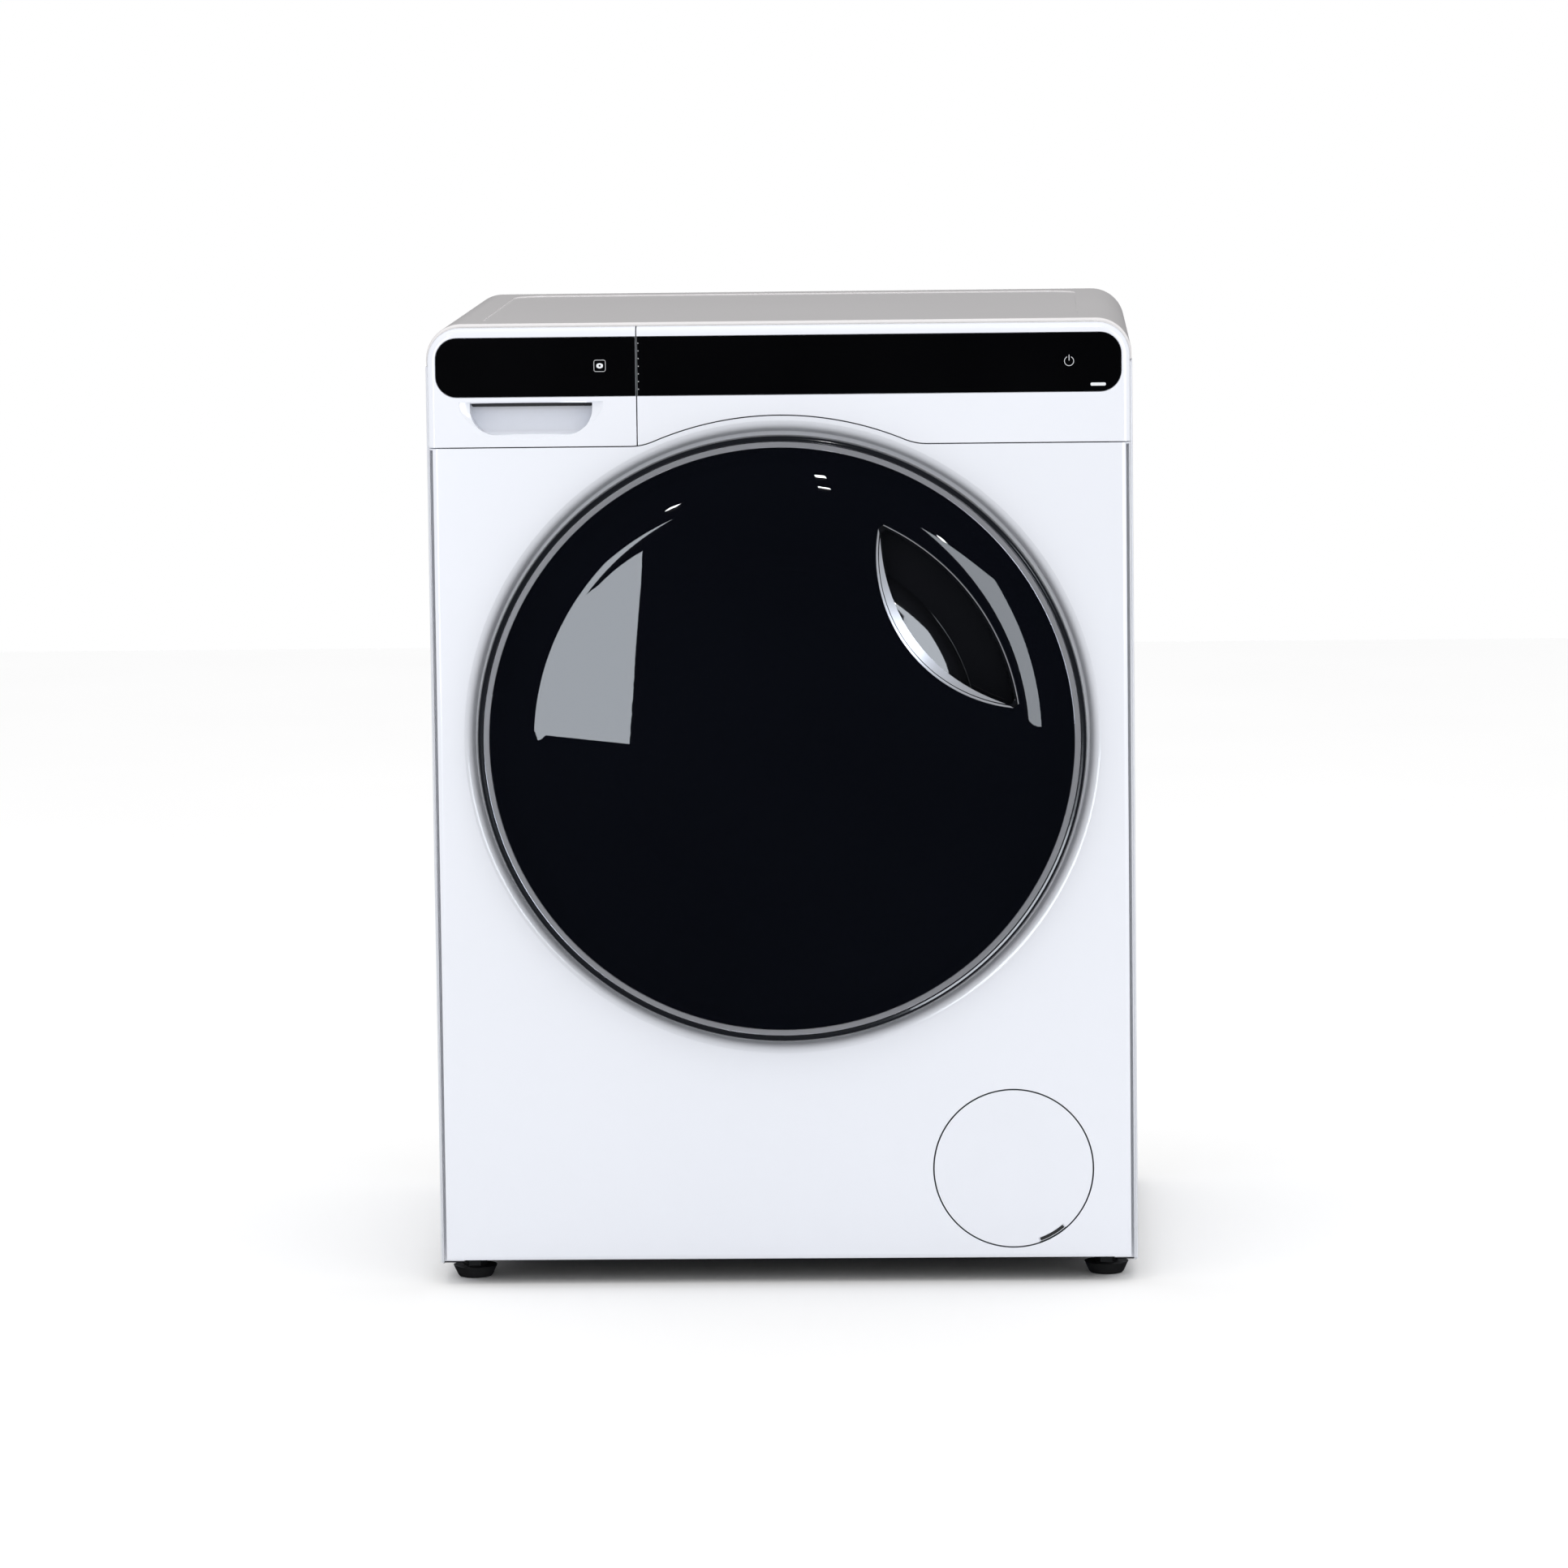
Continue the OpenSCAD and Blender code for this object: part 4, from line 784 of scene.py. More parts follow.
        bar = Edit("mark_bar").prism(round_box(0.2645, 0.2775, S.band_z[0] + 0.0052, S.band_z[0] + 0.0078, [0.0011] * 4, 6), face, face + 0.0003)
        bar.done("cabinet", "window_black", look="print_white")
        dots = [Edit(f"dot{i}").prism(arc(S.split + 0.0022, S.band_z[0] + 0.006 + i * 0.0065, 0.0004, 0, 330, 11), face, face + 0.0002) for i in range(7)]
        dots[0].name = "mark_dots"
        dots[0].join(*dots[1:]).done("cabinet", "window_black", look="print_white")

    def build(self) -> None:
        piece = self.body("fascia_face", S.split + 0.001, self.x_edge, False)
        hollow = Edit("hollow").cuboid((S.split + 0.006, S.front + 0.005, S.seam + 0.033), (self.x_edge - 0.012, S.front + 0.03, S.fascia_top - 0.006))
        piece.boolean(hollow)
        self.pocket(piece, S.split - 0.01, 1.0)
        piece.done("cabinet", "fascia_white", "control_fascia")
        self.drawer_half()
        self.glass("band_pane_right", S.split + 0.0013, 1.0, "cabinet", "display_window")
        self.glass("band_pane_left", -1.0, S.split - 0.0003, "drawer", "drawer_inlay")
        self.icons()


class FrontPanel(Assembly):
    """The enamelled front with its pressed dish, port flange and flap hole, and the service flap."""

    title = "front panel"

    def build(self) -> None:
        edge = S.half - 0.002
        seam = Fascia().lower_edge(-edge, edge)
        outline = [(-edge, S.bottom), (edge, S.bottom)] + [(x, z - 0.001) for x, z in reversed(seam)]
        sheet = Edit("front_sheet").prism(outline, S.front, S.front + 0.011)
        bevel_where(sheet, lambda a, b: a.y < S.front + 1e-6 and b.y < S.front + 1e-6 and abs(abs(a.x) - edge) < 1e-6 and abs(abs(b.x) - edge) < 1e-6, 0.008, 8)
        bevel_where(sheet, lambda a, b: a.y < S.front + 1e-6 and b.y < S.front + 1e-6 and (a.z > S.seam - 0.004 and b.z > S.seam - 0.004 or max(a.z, b.z) < S.bottom + 1e-6), 0.0011, 3)
        hollow = [(-edge + 0.0012, S.bottom - 0.01), (edge - 0.0012, S.bottom - 0.01)] + [(x * 0.996, z - 0.0022) for x, z in reversed(seam)]
        sheet.boolean(Edit("inside").prism(hollow, S.front + 0.0012, S.front + 0.03))
        sheet.boolean(Edit("dish_hole").prism(arc(0, S.door_z, 0.2712, 0, 357, 119), S.front - 0.01, S.front + 0.02))
        low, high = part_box("filter_flap")
        fx, fz, fr = (low[0] + high[0]) / 2, (low[2] + high[2]) / 2, (high[2] - low[2]) / 2
        sheet.boolean(Edit("flap_hole").prism(arc(fx, fz, fr + 0.0012, 0, 356, 89), S.front - 0.01, S.front + 0.02))
        bevel_where(sheet, lambda a, b: a.y < S.front + 1e-6 and b.y < S.front + 1e-6 and abs(Vector((a.x - fx, a.z - fz)).length - fr - 0.0012) < 1e-4, 0.0005, 2)
        r = S.door_r
        sheet.slice(0, [i * 0.049 for i in range(-5, 6)]).slice(2, [0.170, 0.198, 0.35, 0.47, 0.59, 0.70])
        dish = Edit("dish").lathe([(0.2716, 0), (0.2709, 0.0001), (0.2695, 0.0004), (0.2675, 0.0010), (0.2655, 0.0021), (0.2640, 0.0038), (r + 0.0035, 0.0060), (r + 0.0025, 0.0075), (r + 0.001, 0.008),
                                   (0.1752, 0.008), (0.1738, 0.0086), (0.173, 0.0100), (0.173, 0.022), (0.1742, 0.022), (0.1742, 0.0102),
                                   (0.1752, 0.0092), (r + 0.003, 0.0092), (r + 0.006, 0.0078), (0.2700, 0.0022), (0.2716, 0.0012)], (0, S.door_z), 160)
        dish.obj.data.transform(Matrix.Translation((0, S.front, 0)))
        low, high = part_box("door_lock")
        dish.boolean(Edit("slot").cuboid((0.209, S.front + 0.004, S.door_z - 0.013), (0.229, S.front + 0.012, S.door_z + 0.013)))
        sheet.join(dish)
        sheet.done("cabinet", "front_paint", "front_panel", smooth=30)
        self.flap(fx, fz, fr)

    def flap(self, fx: float, fz: float, fr: float) -> None:
        """The round snap-in cover with a pry notch at its lower right and four tongues."""
        disc = Edit("service_flap").prism(arc(fx, fz, fr, 0, 357, 119), S.front, S.front + 0.0025)
        notch = Edit("notch").prism(arc(fx, fz, fr + 0.004, -71, -49, 14) + arc(fx, fz, fr - 0.0036, -49, -71, 14), S.front - 0.01, S.front + 0.0017)
        disc.boolean(notch)
        disc.bevel(0.0005, 3, 50)
        rib = Edit("rib").lathe([(fr - 0.006, S.front + 0.0024), (fr - 0.0075, S.front + 0.0024), (fr - 0.0075, S.front + 0.0034), (fr - 0.006, S.front + 0.0034)], (fx, fz), 96)
        tongues = []
        for i in range(4):
            tongue = Edit("tongue").cuboid((-0.007, S.front + 0.002, fr - 0.0052), (0.007, S.front + 0.015, fr - 0.0032))
            barb = Edit("barb").cuboid((-0.0068, S.front + 0.0128, fr - 0.004), (0.0068, S.front + 0.0148, fr - 0.0022)).bevel(0.0005, 2)
            tongue.bevel(0.0004, 2).join(barb)
            tongue.obj.data.transform(Matrix.Translation((fx, 0, fz)) @ Matrix.Rotation(math.radians(90 * i), 4, "Y"))
            tongues.append(tongue)
        disc.join(rib, *tongues).done("flap", "flap_white", "filter_flap")
        # painted shade: a near-black strip on the floor of the pry notch, so the notch reads dark as shade inside it
        # would make it
        floor = Edit("flap_notch_painted_shade").prism(arc(fx, fz, fr - 0.0006, -70, -50, 14) + arc(fx, fz, fr - 0.0033, -50, -70, 14), S.front + 0.0014, S.front + 0.0019)
        floor.bevel(0.0001, 1, 50).done("flap", "flap_white", look="seam_shadow")


class Case(Assembly):
    """Worktop, side panels with pressed fields, feet."""

    title = "case"

    def build(self) -> None:
        h, w = S.height, S.half - 0.0005
        skirt = h - 0.035
        outline = [(-w, skirt), (w, skirt)] + arc(w - 0.030, h - 0.030, 0.030, 0, 90, 20) + arc(-w + 0.030, h - 0.030, 0.030, 90, 180, 20)
        top = Edit("worktop").prism(outline, S.front + 0.013, S.back)
        inner = [(-w + 0.003, skirt - 0.01), (w - 0.003, skirt - 0.01)] + arc(w - 0.030, h - 0.030, 0.027, 0, 90, 20) + arc(-w + 0.030, h - 0.030, 0.027, 90, 180, 20)
        bevel_where(top, lambda a, b: abs(a.y - b.y) < 1e-6 and max(a.z, b.z) > skirt + 0.0001, 0.0035, 4)
        top.boolean(Edit("inner").prism(inner, S.front + 0.010, S.back - 0.003))
        field_cut = Edit("field").slab(round_box(-w + 0.045, w - 0.045, S.front + 0.040, S.back - 0.035, [0.03] * 4, 10), h - 0.0007, h + 0.01)
        top.boolean(field_cut)
        top.done("cabinet", "worktop", "top_plate", smooth=30)
        self.sides(skirt)
        for node in ("foot_front_left", "foot_front_right", "foot_rear_left", "foot_rear_right"):
            self.foot(node)

    def sides(self, skirt: float) -> None:
        """Both side panels: a sheet with returns, rounded front edge and two pressed fields."""
        w, y0, y1 = S.half, S.front + 0.012, S.back - 0.002
        panel = Edit("side_sheet_right").slab([(w - 0.02, y0), (w - 0.0015, y0), (w - 0.0003, y0 + 0.0006), (w, y0 + 0.002), (w, y1 - 0.002), (w - 0.0005, y1 - 0.0005), (w - 0.002, y1), (w - 0.02, y1),
                                               (w - 0.02, y1 - 0.0012), (w - 0.0022, y1 - 0.0012), (w - 0.0012, y1 - 0.0022), (w - 0.0012, y0 + 0.0022), (w - 0.0022, y0 + 0.0012), (w - 0.02, y0 + 0.0012)], S.bottom, skirt - 0.001)
        for z0, z1 in ((0.075, 0.215), (0.245, 0.735)):
            field_cut = Edit("press").prism(round_box(y0 + 0.055, y1 - 0.055, z0, z1, [0.022] * 4, 8), 0, 0.01)
            field_cut.obj.data.transform(Matrix.Rotation(math.radians(90), 4, "Z"))
            lows = min(v.co.x for v in field_cut.obj.data.vertices)
            field_cut.obj.data.transform(Matrix.Translation((w - 0.0006 - lows, 0, 0)))
            panel.boolean(field_cut)
        panel.join(Edit("return_low").cuboid((w - 0.02, y0, S.bottom), (w - 0.0006, y1, S.bottom + 0.0012)),
                   Edit("return_top").cuboid((w - 0.02, y0, skirt - 0.0022), (w - 0.0006, y1, skirt - 0.001)))
        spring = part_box("suspension_springs")
        ys = (spring[0][1] + spring[1][1]) / 2
        bracket = Edit("bracket").cuboid((w - 0.032, ys - 0.009, skirt - 0.021), (w - 0.0006, ys + 0.009, skirt - 0.018))
        bracket.boolean(Edit("eye").bar((w - 0.018, ys, skirt - 0.03), (w - 0.018, ys, skirt - 0.01), 0.0024, 24))
        panel.join(bracket.bevel(0.0005, 2))
        twin = panel.mirrored("side_sheet_left")
        panel.done("cabinet", "cabinet_paint", "side_panel_right")
        twin.done("cabinet", "cabinet_paint", "side_panel_left")

    def foot(self, node: str) -> None:
        """A tapered pad with grip ribs, a hexagon collar and a ringed stem."""
        low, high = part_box(node)
        x, y, r = (low[0] + high[0]) / 2, (low[1] + high[1]) / 2, (high[0] - low[0]) / 2
        profile = [(0.0, 0.0005), (r * 0.55, 0.0005), (r * 0.6, 0.0), (r * 0.74, 0.0), (r * 0.79, 0.0012), (r * 0.82, 0.0022), (r * 0.97, 0.0085), (r, 0.0095), (r * 0.9, 0.0098), (0.0062, 0.0098)]
        for i in range(18):
            z = 0.0105 + i * 0.0022
            profile += [(0.0060, z), (0.0054, z + 0.0011)]
        profile += [(0.0050, 0.052), (0.0, 0.052)]
        pad = Edit(node + "_pad").lathe([(a, b) for a, b in profile], (0, 0), 48, closed=False)
        pad.obj.data.transform(Matrix.Translation((x, y, 0)) @ Matrix.Rotation(math.radians(90), 4, "X"))
        collar = Edit("collar").prism(arc(0, 0, 0.0105, 0, 300, 5), 0, 0.0055).bevel(0.0006, 2)
        collar.obj.data.transform(Matrix.Translation((x, y, 0.015)) @ Matrix.Rotation(math.radians(-90), 4, "X") @ Matrix.Translation((0, 0, 0)))
        flip_up(collar, 0.0095, 0.015)
        flip_up(pad, 0.0, 0.052)
        pad.join(collar).done(node, "foot_rubber", node)


class Door(Assembly):
    """Rings, dark domed cover, handle recess and glass bowl."""

    title = "door"

    def dome(self, r: float) -> float:
        """Depth of the cover's face behind its highest point at radius r, in metres."""
        mm = r * 1000.0
        if mm < 204:
            return 0.012 * (mm / 204) ** 2
        return 0.012 + (S.bulge - 0.0245) * (1 - math.cos(math.pi / 2 * min(1.0, (mm - 204) / 36)))

    def lens(self, shrink: float, steps: int = 40) -> list[Point]:
        """Outline of the handle recess: two arcs with soft corners, in X and Z."""
        big, small = 0.204 - shrink, 0.131 - shrink
        cx, cz = 0.213, 0.157
        gap = math.hypot(cx, cz)
        mid = math.atan2(cz, cx)
        half = math.acos((gap**2 + big**2 - small**2) / (2 * gap * big))
        other = math.acos((gap**2 + small**2 - big**2) / (2 * gap * small))
        ease = 0.02
        outer = [(big * math.cos(t), S.door_z + big * math.sin(t)) for t in [mid - half + ease + (2 * half - 2 * ease) * i / steps for i in range(steps + 1)]]
        inner = [(cx + small * math.cos(t), S.door_z + cz + small * math.sin(t)) for t in [mid + math.pi - other + ease * 2 + (2 * other - 4 * ease) * i / steps for i in range(steps + 1)]]
        return outer + inner

    def build(self) -> None:
        y, r, c = S.front, S.door_r, (0.0, S.door_z)
        ring = Edit("door_ring").lathe([(r - 0.0055, y - 0.0125), (r - 0.0046, y - 0.0136), (r - 0.0030, y - 0.0140), (r - 0.0016, y - 0.0134), (r - 0.0008, y - 0.0124), (r, y - 0.0108),
                                        (r, y - 0.003), (r - 0.0006, y - 0.0018), (r - 0.004, y + 0.001), (r - 0.0055, y + 0.001)], c, 192)
        xh, z = 0.012 - r, S.door_z
        ring.boolean(Edit("cut").cuboid((xh - 0.0065, y - 0.011, z - 0.039), (xh + 0.03, y + 0.009, z + 0.039)))
        for low in (-0.039, 0.0265):
            ring.boolean(Edit("cut").cuboid((xh - 0.03, y - 0.006, z + low), (xh + 0.01, y + 0.009, z + low + 0.0125)))
        ring.done("door", "ring_grey", "door_outer_ring")
        chrome = Edit("door_chrome").lathe([(r - 0.0104, y - 0.0116), (r - 0.0104, y - 0.0132)] + [(a, y + b) for a, b in arc(r - 0.00805, -0.0130, 0.00235, 175, 5, 10)] + [(r - 0.0057, y - 0.0116)], c, 192)
        for i, v in enumerate(chrome.obj.data.vertices):
            v.co.y = max(v.co.y, y - 0.0148)
        chrome.done("door", "ring_chrome", "door_chrome_ring")
        self.cover(y, r, c)
        self.cup(y)
        bowl = Edit("door_glass").lathe([(0.1496, y - 0.0172), (0.1496, y + 0.014), (0.1480, y + 0.030), (0.1450, y + 0.046), (0.1405, y + 0.062), (0.1330, y + 0.076), (0.1200, y + 0.0865), (0.1010, y + 0.0930),
                                         (0.0700, y + 0.0968), (0.0350, y + 0.0982), (0.0, y + 0.0985), (0.0, y + 0.0945), (0.0350, y + 0.0942), (0.0690, y + 0.0928), (0.0985, y + 0.0890), (0.1165, y + 0.0830),
                                         (0.1290, y + 0.0733), (0.1368, y + 0.0605), (0.1411, y + 0.0452), (0.1440, y + 0.0295), (0.1456, y + 0.013), (0.1456, y - 0.0172)], c, 128)
        bowl.done("door", "bowl_glass", "door_bowl", smooth=50)
        trim = Edit("door_bowl_band").lathe([(0.1499, y - 0.0174), (0.1499, y - 0.0180), (0.1450, y - 0.0180), (0.1450, y - 0.0174)], c, 128)
        trim.done("door", "door_frame_plastic")

    def cover(self, y: float, r: float, c: Point) -> None:
        """The dark dome: a thin shell with a rolled shoulder, cut for the handle recess."""
        top = y - S.bulge
        outer = [(a / 1000, top + self.dome(a / 1000)) for a in list(range(0, 204, 12)) + [200, 204, 207, 210, 213, 216, 219, 222, 225, 228, 231, 234, 237, 240]]
        outer[-1] = (0.2395, y - 0.0125)
        inner = [(a - 0.0018, b + 0.0022) for a, b in reversed(outer) if a > 0.0] + [(0.0, top + 0.0022)]
        inner[0] = (0.2375, y - 0.0105)
        shell = Edit("door_dome").lathe(outer + [(r - 0.0112, y - 0.0125), (r - 0.0107, y - 0.0121), (r - 0.0106, y - 0.0105)] + inner, c, 192)
        shell.boolean(Edit("lens").prism(self.lens(0.0), y - 0.09, y + 0.03))
        bevel_where(shell, lambda a, b: on_outline(a, b, self, top), 0.0011, 3)
        shell.done("door", "cover_black", "door_cover", smooth=30)
        edge = self.lens(0.0)[:41]
        line = [(x, top + self.dome(math.hypot(x, z - S.door_z)) + 0.0009, z) for x, z in edge]
        Edit("handle_bright_line").tube(line, 0.0009, 8).done("door", "ring_chrome", look="bevel_bright")
        self.bevel_band(top)

    def bevel_band(self, top: float) -> None:
        """The bright slanted band along the inner edge of the handle recess, widest in its middle."""
        inner = self.lens(0.0)[41:]
        rows = [Edit("handle_bevel"), Edit("row")]
        edge, deep = [], []
        for i, (x, z) in enumerate(inner):
            share = math.sin(math.pi * i / (len(inner) - 1)) ** 0.6
            lean = Vector((0.213 - x, 0.157 + S.door_z - z)).normalized() * 0.0095 * share
            edge.append((x, top + self.dome(math.hypot(x, z - S.door_z)) + 0.0004, z))
            deep.append((x + lean.x, top + self.dome(math.hypot(x, z - S.door_z)) + 0.0004 + 0.0045 * share + 0.0002, z + lean.y))
        rows[0].path(edge)
        rows[1].path(deep)
        rows[0].join(rows[1])
        bpy.ops.object.mode_set(mode="EDIT")
        bpy.ops.mesh.select_mode(type="EDGE")
        bpy.ops.mesh.select_all(action="SELECT")
        bpy.ops.mesh.bridge_edge_loops()
        bpy.ops.mesh.normals_make_consistent(inside=False)
        bpy.ops.object.mode_set(mode="OBJECT")
        thick = rows[0].obj.modifiers.new("thick", "SOLIDIFY")
        thick.thickness = 0.0008
        thick.offset = 0.0
        rows[0].settle().done("door", "ring_chrome", look="bevel_bright")

    def cup(self, y: float) -> None:
        """The recess behind the lens: a slanted bevel along its inner edge and a deep pocket."""
        top = y - S.bulge
        solid = Edit("handle_cup").prism(self.lens(0.0004), y - 0.045, y - 0.0052)
        under = [(0.0, top + 0.0165), (0.158, top + 0.0175), (0.1645, y - 0.0045), (0.1645, y + 0.03), (0.0, y + 0.03)]
        solid.boolean(Edit("under").lathe(under, (0, S.door_z), 160))
        above = [(0.0, top - 0.02)] + [(a / 1000, top + self.dome(a / 1000) + 0.0008) for a in range(0, 216, 8)] + [(0.216, top - 0.02)]
        solid.boolean(Edit("above").lathe(above, (0, S.door_z), 160))
        well = Edit("well").prism(self.lens(0.0026), y - 0.06, y - 0.0072)
        hollow = [(0.120, top - 0.01), (0.1340, top + self.dome(0.134) + 0.0030), (0.1420, top + self.dome(0.142) + 0.0068), (0.1500, top + 0.0135), (0.1590, top + 0.0172), (0.1640, top + 0.0225),
                  (0.1670, y - 0.0076), (0.1985, y - 0.0076), (0.2030, top + 0.0200), (0.2030, top - 0.01)]
        well.boolean(Edit("hollow").lathe(hollow, (0, S.door_z), 160), "INTERSECT")
        solid.boolean(well)
        solid.done("door", "cup_black", "door_handle_cup", smooth=40)


class Washing(Assembly):
    """What turns and hangs inside: drum, gasket, springs, hoses, belt and pulley."""

    title = "works"

    def build(self) -> None:
        self.drum()
        self.gasket()
        self.springs()
        self.hoses()
        self.pulley()

    def drum(self) -> None:
        """A perforated shell rolled from a flat grid, with a pressed back and vented lifters."""
        low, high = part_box("drum_shell")
        r, y0, y1 = (high[0] - low[0]) / 2, low[1] + 0.019, high[1]
        Edit.alone(None)
        cols, rows = 150, 30
        length = math.tau * r
        bpy.ops.mesh.primitive_grid_add(x_subdivisions=cols, y_subdivisions=rows, size=1, location=(0, 0, 0))
        wall = Edit("drum_wall")
        wall.obj = bpy.context.object
        wall.obj.name = "drum_wall"
        wall.obj.scale = (length, y1 - y0, 1)
        wall.apply()
        mesh = wall.obj.data
        for v in mesh.vertices:
            col = round((v.co.x / length + 0.5) * cols)
            row = round((v.co.y / (y1 - y0) + 0.5) * rows)
            v.select = 1 < row < rows - 1 and (col + row) % 2 == 0 and not any(abs(col / cols - a) < 0.025 for a in (1 / 12, 5 / 12, 9 / 12))
        bpy.ops.object.mode_set(mode="EDIT")
        bpy.ops.mesh.select_mode(type="VERT")
        bpy.ops.mesh.bevel(offset=0.0019, segments=2, profile=0.5, affect="VERTICES")
        bpy.ops.object.mode_set(mode="OBJECT")
        for p in mesh.polygons:
            p.select = p.area < 0.000016
        bpy.ops.object.mode_set(mode="EDIT")
        bpy.ops.mesh.select_mode(type="FACE")
        bpy.ops.mesh.delete(type="FACE")
        bpy.ops.object.mode_set(mode="OBJECT")
        for v in mesh.vertices:
            turn = v.co.x / r
            v.co = ((r - 0.0006) * math.sin(turn), (y0 + y1) / 2 + v.co.y, S.door_z - (r - 0.0006) * math.cos(turn))
        bpy.ops.object.mode_set(mode="EDIT")
        bpy.ops.mesh.select_all(action="SELECT")
        bpy.ops.mesh.remove_doubles(threshold=0.00002)
        bpy.ops.mesh.normals_make_consistent(inside=False)
        bpy.ops.object.mode_set(mode="OBJECT")
        mod = wall.obj.modifiers.new("thick", "SOLIDIFY")
        mod.thickness = 0.0008
        mod.offset = 0.0
        wall.settle()
        n = low[1]
        front = Edit("front").lathe([(0.160, n + 0.005), (0.160, n + 0.001), (0.161, n), (0.1625, n), (0.166, n + 0.003), (0.190, n + 0.0032), (0.193, n + 0.0048), (r - 0.030, n + 0.0048), (r - 0.016, n + 0.004),
                                     (r - 0.008, n + 0.0065), (r - 0.002, n + 0.012), (r, n + 0.0195), (r - 0.0012, n + 0.0195), (r - 0.003, n + 0.0128), (r - 0.0088, n + 0.0074), (r - 0.0165, n + 0.0052),
                                     (r - 0.0305, n + 0.006), (0.1925, n + 0.006), (0.1895, n + 0.0044), (0.1655, n + 0.0042), (0.1615, n + 0.003), (0.1612, n + 0.005)], (0, S.door_z), 144)
        wall.join(front).done("drum", "drum_steel", "drum_shell", smooth=35)
        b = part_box("drum_back")
        yb = b[1][1]
        back = Edit("drum_rear").lathe([(0.0, yb - 0.0079), (0.030, yb - 0.0079), (0.034, yb - 0.0066), (0.050, yb - 0.0066), (0.054, yb - 0.0079), (0.062, yb - 0.0076), (0.086, yb - 0.0016), (0.110, yb - 0.0012),
                                        (0.116, yb - 0.0034), (0.122, yb - 0.0034), (0.128, yb - 0.0012), (0.170, yb - 0.0012), (0.176, yb - 0.0034), (0.182, yb - 0.0034), (0.188, yb - 0.0012), (0.206, yb - 0.0012),
                                        (0.210, yb - 0.004), (0.217, yb - 0.004), (0.221, yb - 0.0012), (r - 0.0014, yb - 0.0012), (r - 0.0014, yb - 0.0002), (0.088, yb - 0.0002), (0.064, yb - 0.0062), (0.0, yb - 0.0064)], (0, S.door_z), 128)
        back.done("drum", "drum_steel", "drum_back", smooth=50)
        self.lifters(r)

    def lifters(self, r: float) -> None:
        """Three hollow-looking ribs with rounded crests and rows of holes."""
        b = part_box("drum_lifters")
        y0, y1 = b[0][1], b[1][1]
        inner = r - 0.048
        outline = [(-0.034, r - 0.0065)] + [(-0.013, inner + 0.005)] + arc(0, inner + 0.009, 0.0105, 212, 328, 10) + [(0.013, inner + 0.005), (0.034, r - 0.0065)]
        outline += [(r * 0.993 * math.sin(t), r * 0.993 * math.cos(t)) for t in [0.11, 0.055, 0.0, -0.055, -0.11]]
        rib = Edit("lifter").prism(outline, y0, y1).bevel(0.004, 3, 60)
        holes = []
        for i in range(9):
            y = y0 + 0.030 + i * (y1 - y0 - 0.060) / 8
            for x in (-0.0125, 0.0125):
                holes.append(Edit("hole").bar((x, y, inner - 0.01), (x, y, inner + 0.020), 0.0022, 12))
        holes[0].join(*holes[1:])
        rib.boolean(holes[0])
        lifted = []
        for i in range(3):
            twin = rib.copy(f"lifter_{i}", math.radians(60 + 120 * i), (0.0, 0.0))
            twin.obj.data.transform(Matrix.Translation((0, 0, S.door_z)))
            lifted.append(twin)
        bpy.data.objects.remove(rib.obj, do_unlink=True)
        lifted[0].join(*lifted[1:])
        lifted[0].name = "lifter_ribs"
        lifted[0].obj.name = lifted[0].obj.data.name = "lifter_ribs"
        lifted[0].done("drum", "lifter_plastic", "drum_lifters", smooth=40)

    def gasket(self) -> None:
        """The folded rubber bellows, with a lip and a wire clip ring."""
        y = S.front
        fold = [(0.1726, 0.0065), (0.1726, 0.024), (0.176, 0.0262), (0.180, 0.0285), (0.1818, 0.0315), (0.1820, 0.0345), (0.1806, 0.0375), (0.177, 0.0400), (0.1745, 0.0425), (0.1738, 0.0455), (0.1745, 0.0485),
                (0.177, 0.0510), (0.1806, 0.0535), (0.1820, 0.0565), (0.1812, 0.0595), (0.178, 0.0618), (0.1752, 0.0640), (0.1748, 0.0670), (0.1748, 0.0715)]
        thick = 0.0022
        profile = [(a, y + b) for a, b in fold] + [(a - thick, y + b) for a, b in reversed(fold)]
        rubber = Edit("gasket_bellows").lathe(profile, (0, S.door_z), 128)
        lip = Edit("lip").lathe([(0.1718, y + 0.0085), (0.1715, y + 0.0125), (0.168, y + 0.0150), (0.160, y + 0.0178), (0.1535, y + 0.0212), (0.1526, y + 0.0200), (0.1530, y + 0.0165), (0.160, y + 0.0140), (0.167, y + 0.0110)], (0, S.door_z), 128)
        rubber.join(lip)
        rubber.settle().obj.data.materials.clear()
        self.bend(rubber, "gasket_rubber", "door_gasket", (0, y + 0.026, S.door_z), (0, y + 0.062, S.door_z))
        wire = Edit("gasket_clip_ring").lathe([(a, b) for a, b in arc(0.1706, y + 0.0145, 0.0011, 0, 330, 11)], (0, S.door_z), 128)
        wire.done("cabinet", "hinge_steel")

    def bend(self, piece: Edit, slot: str, node: str, start: Point3, end: Point3) -> None:
        """Gives a soft piece its finish, bakes its place into its points and hides the exact node it replaces."""
        Edit.alone(piece.obj)
        bpy.ops.object.shade_smooth_by_angle(angle=math.radians(50))
        for mod in list(piece.obj.modifiers):
            bpy.ops.object.modifier_apply(modifier=mod.name)
        piece.obj.data.materials.clear()
        piece.obj.data.materials.append(FINISHES.get(slot))
        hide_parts(node)
        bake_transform(piece.obj)
        LOG.info("piece %s bends between cabinet and tub", piece.name)

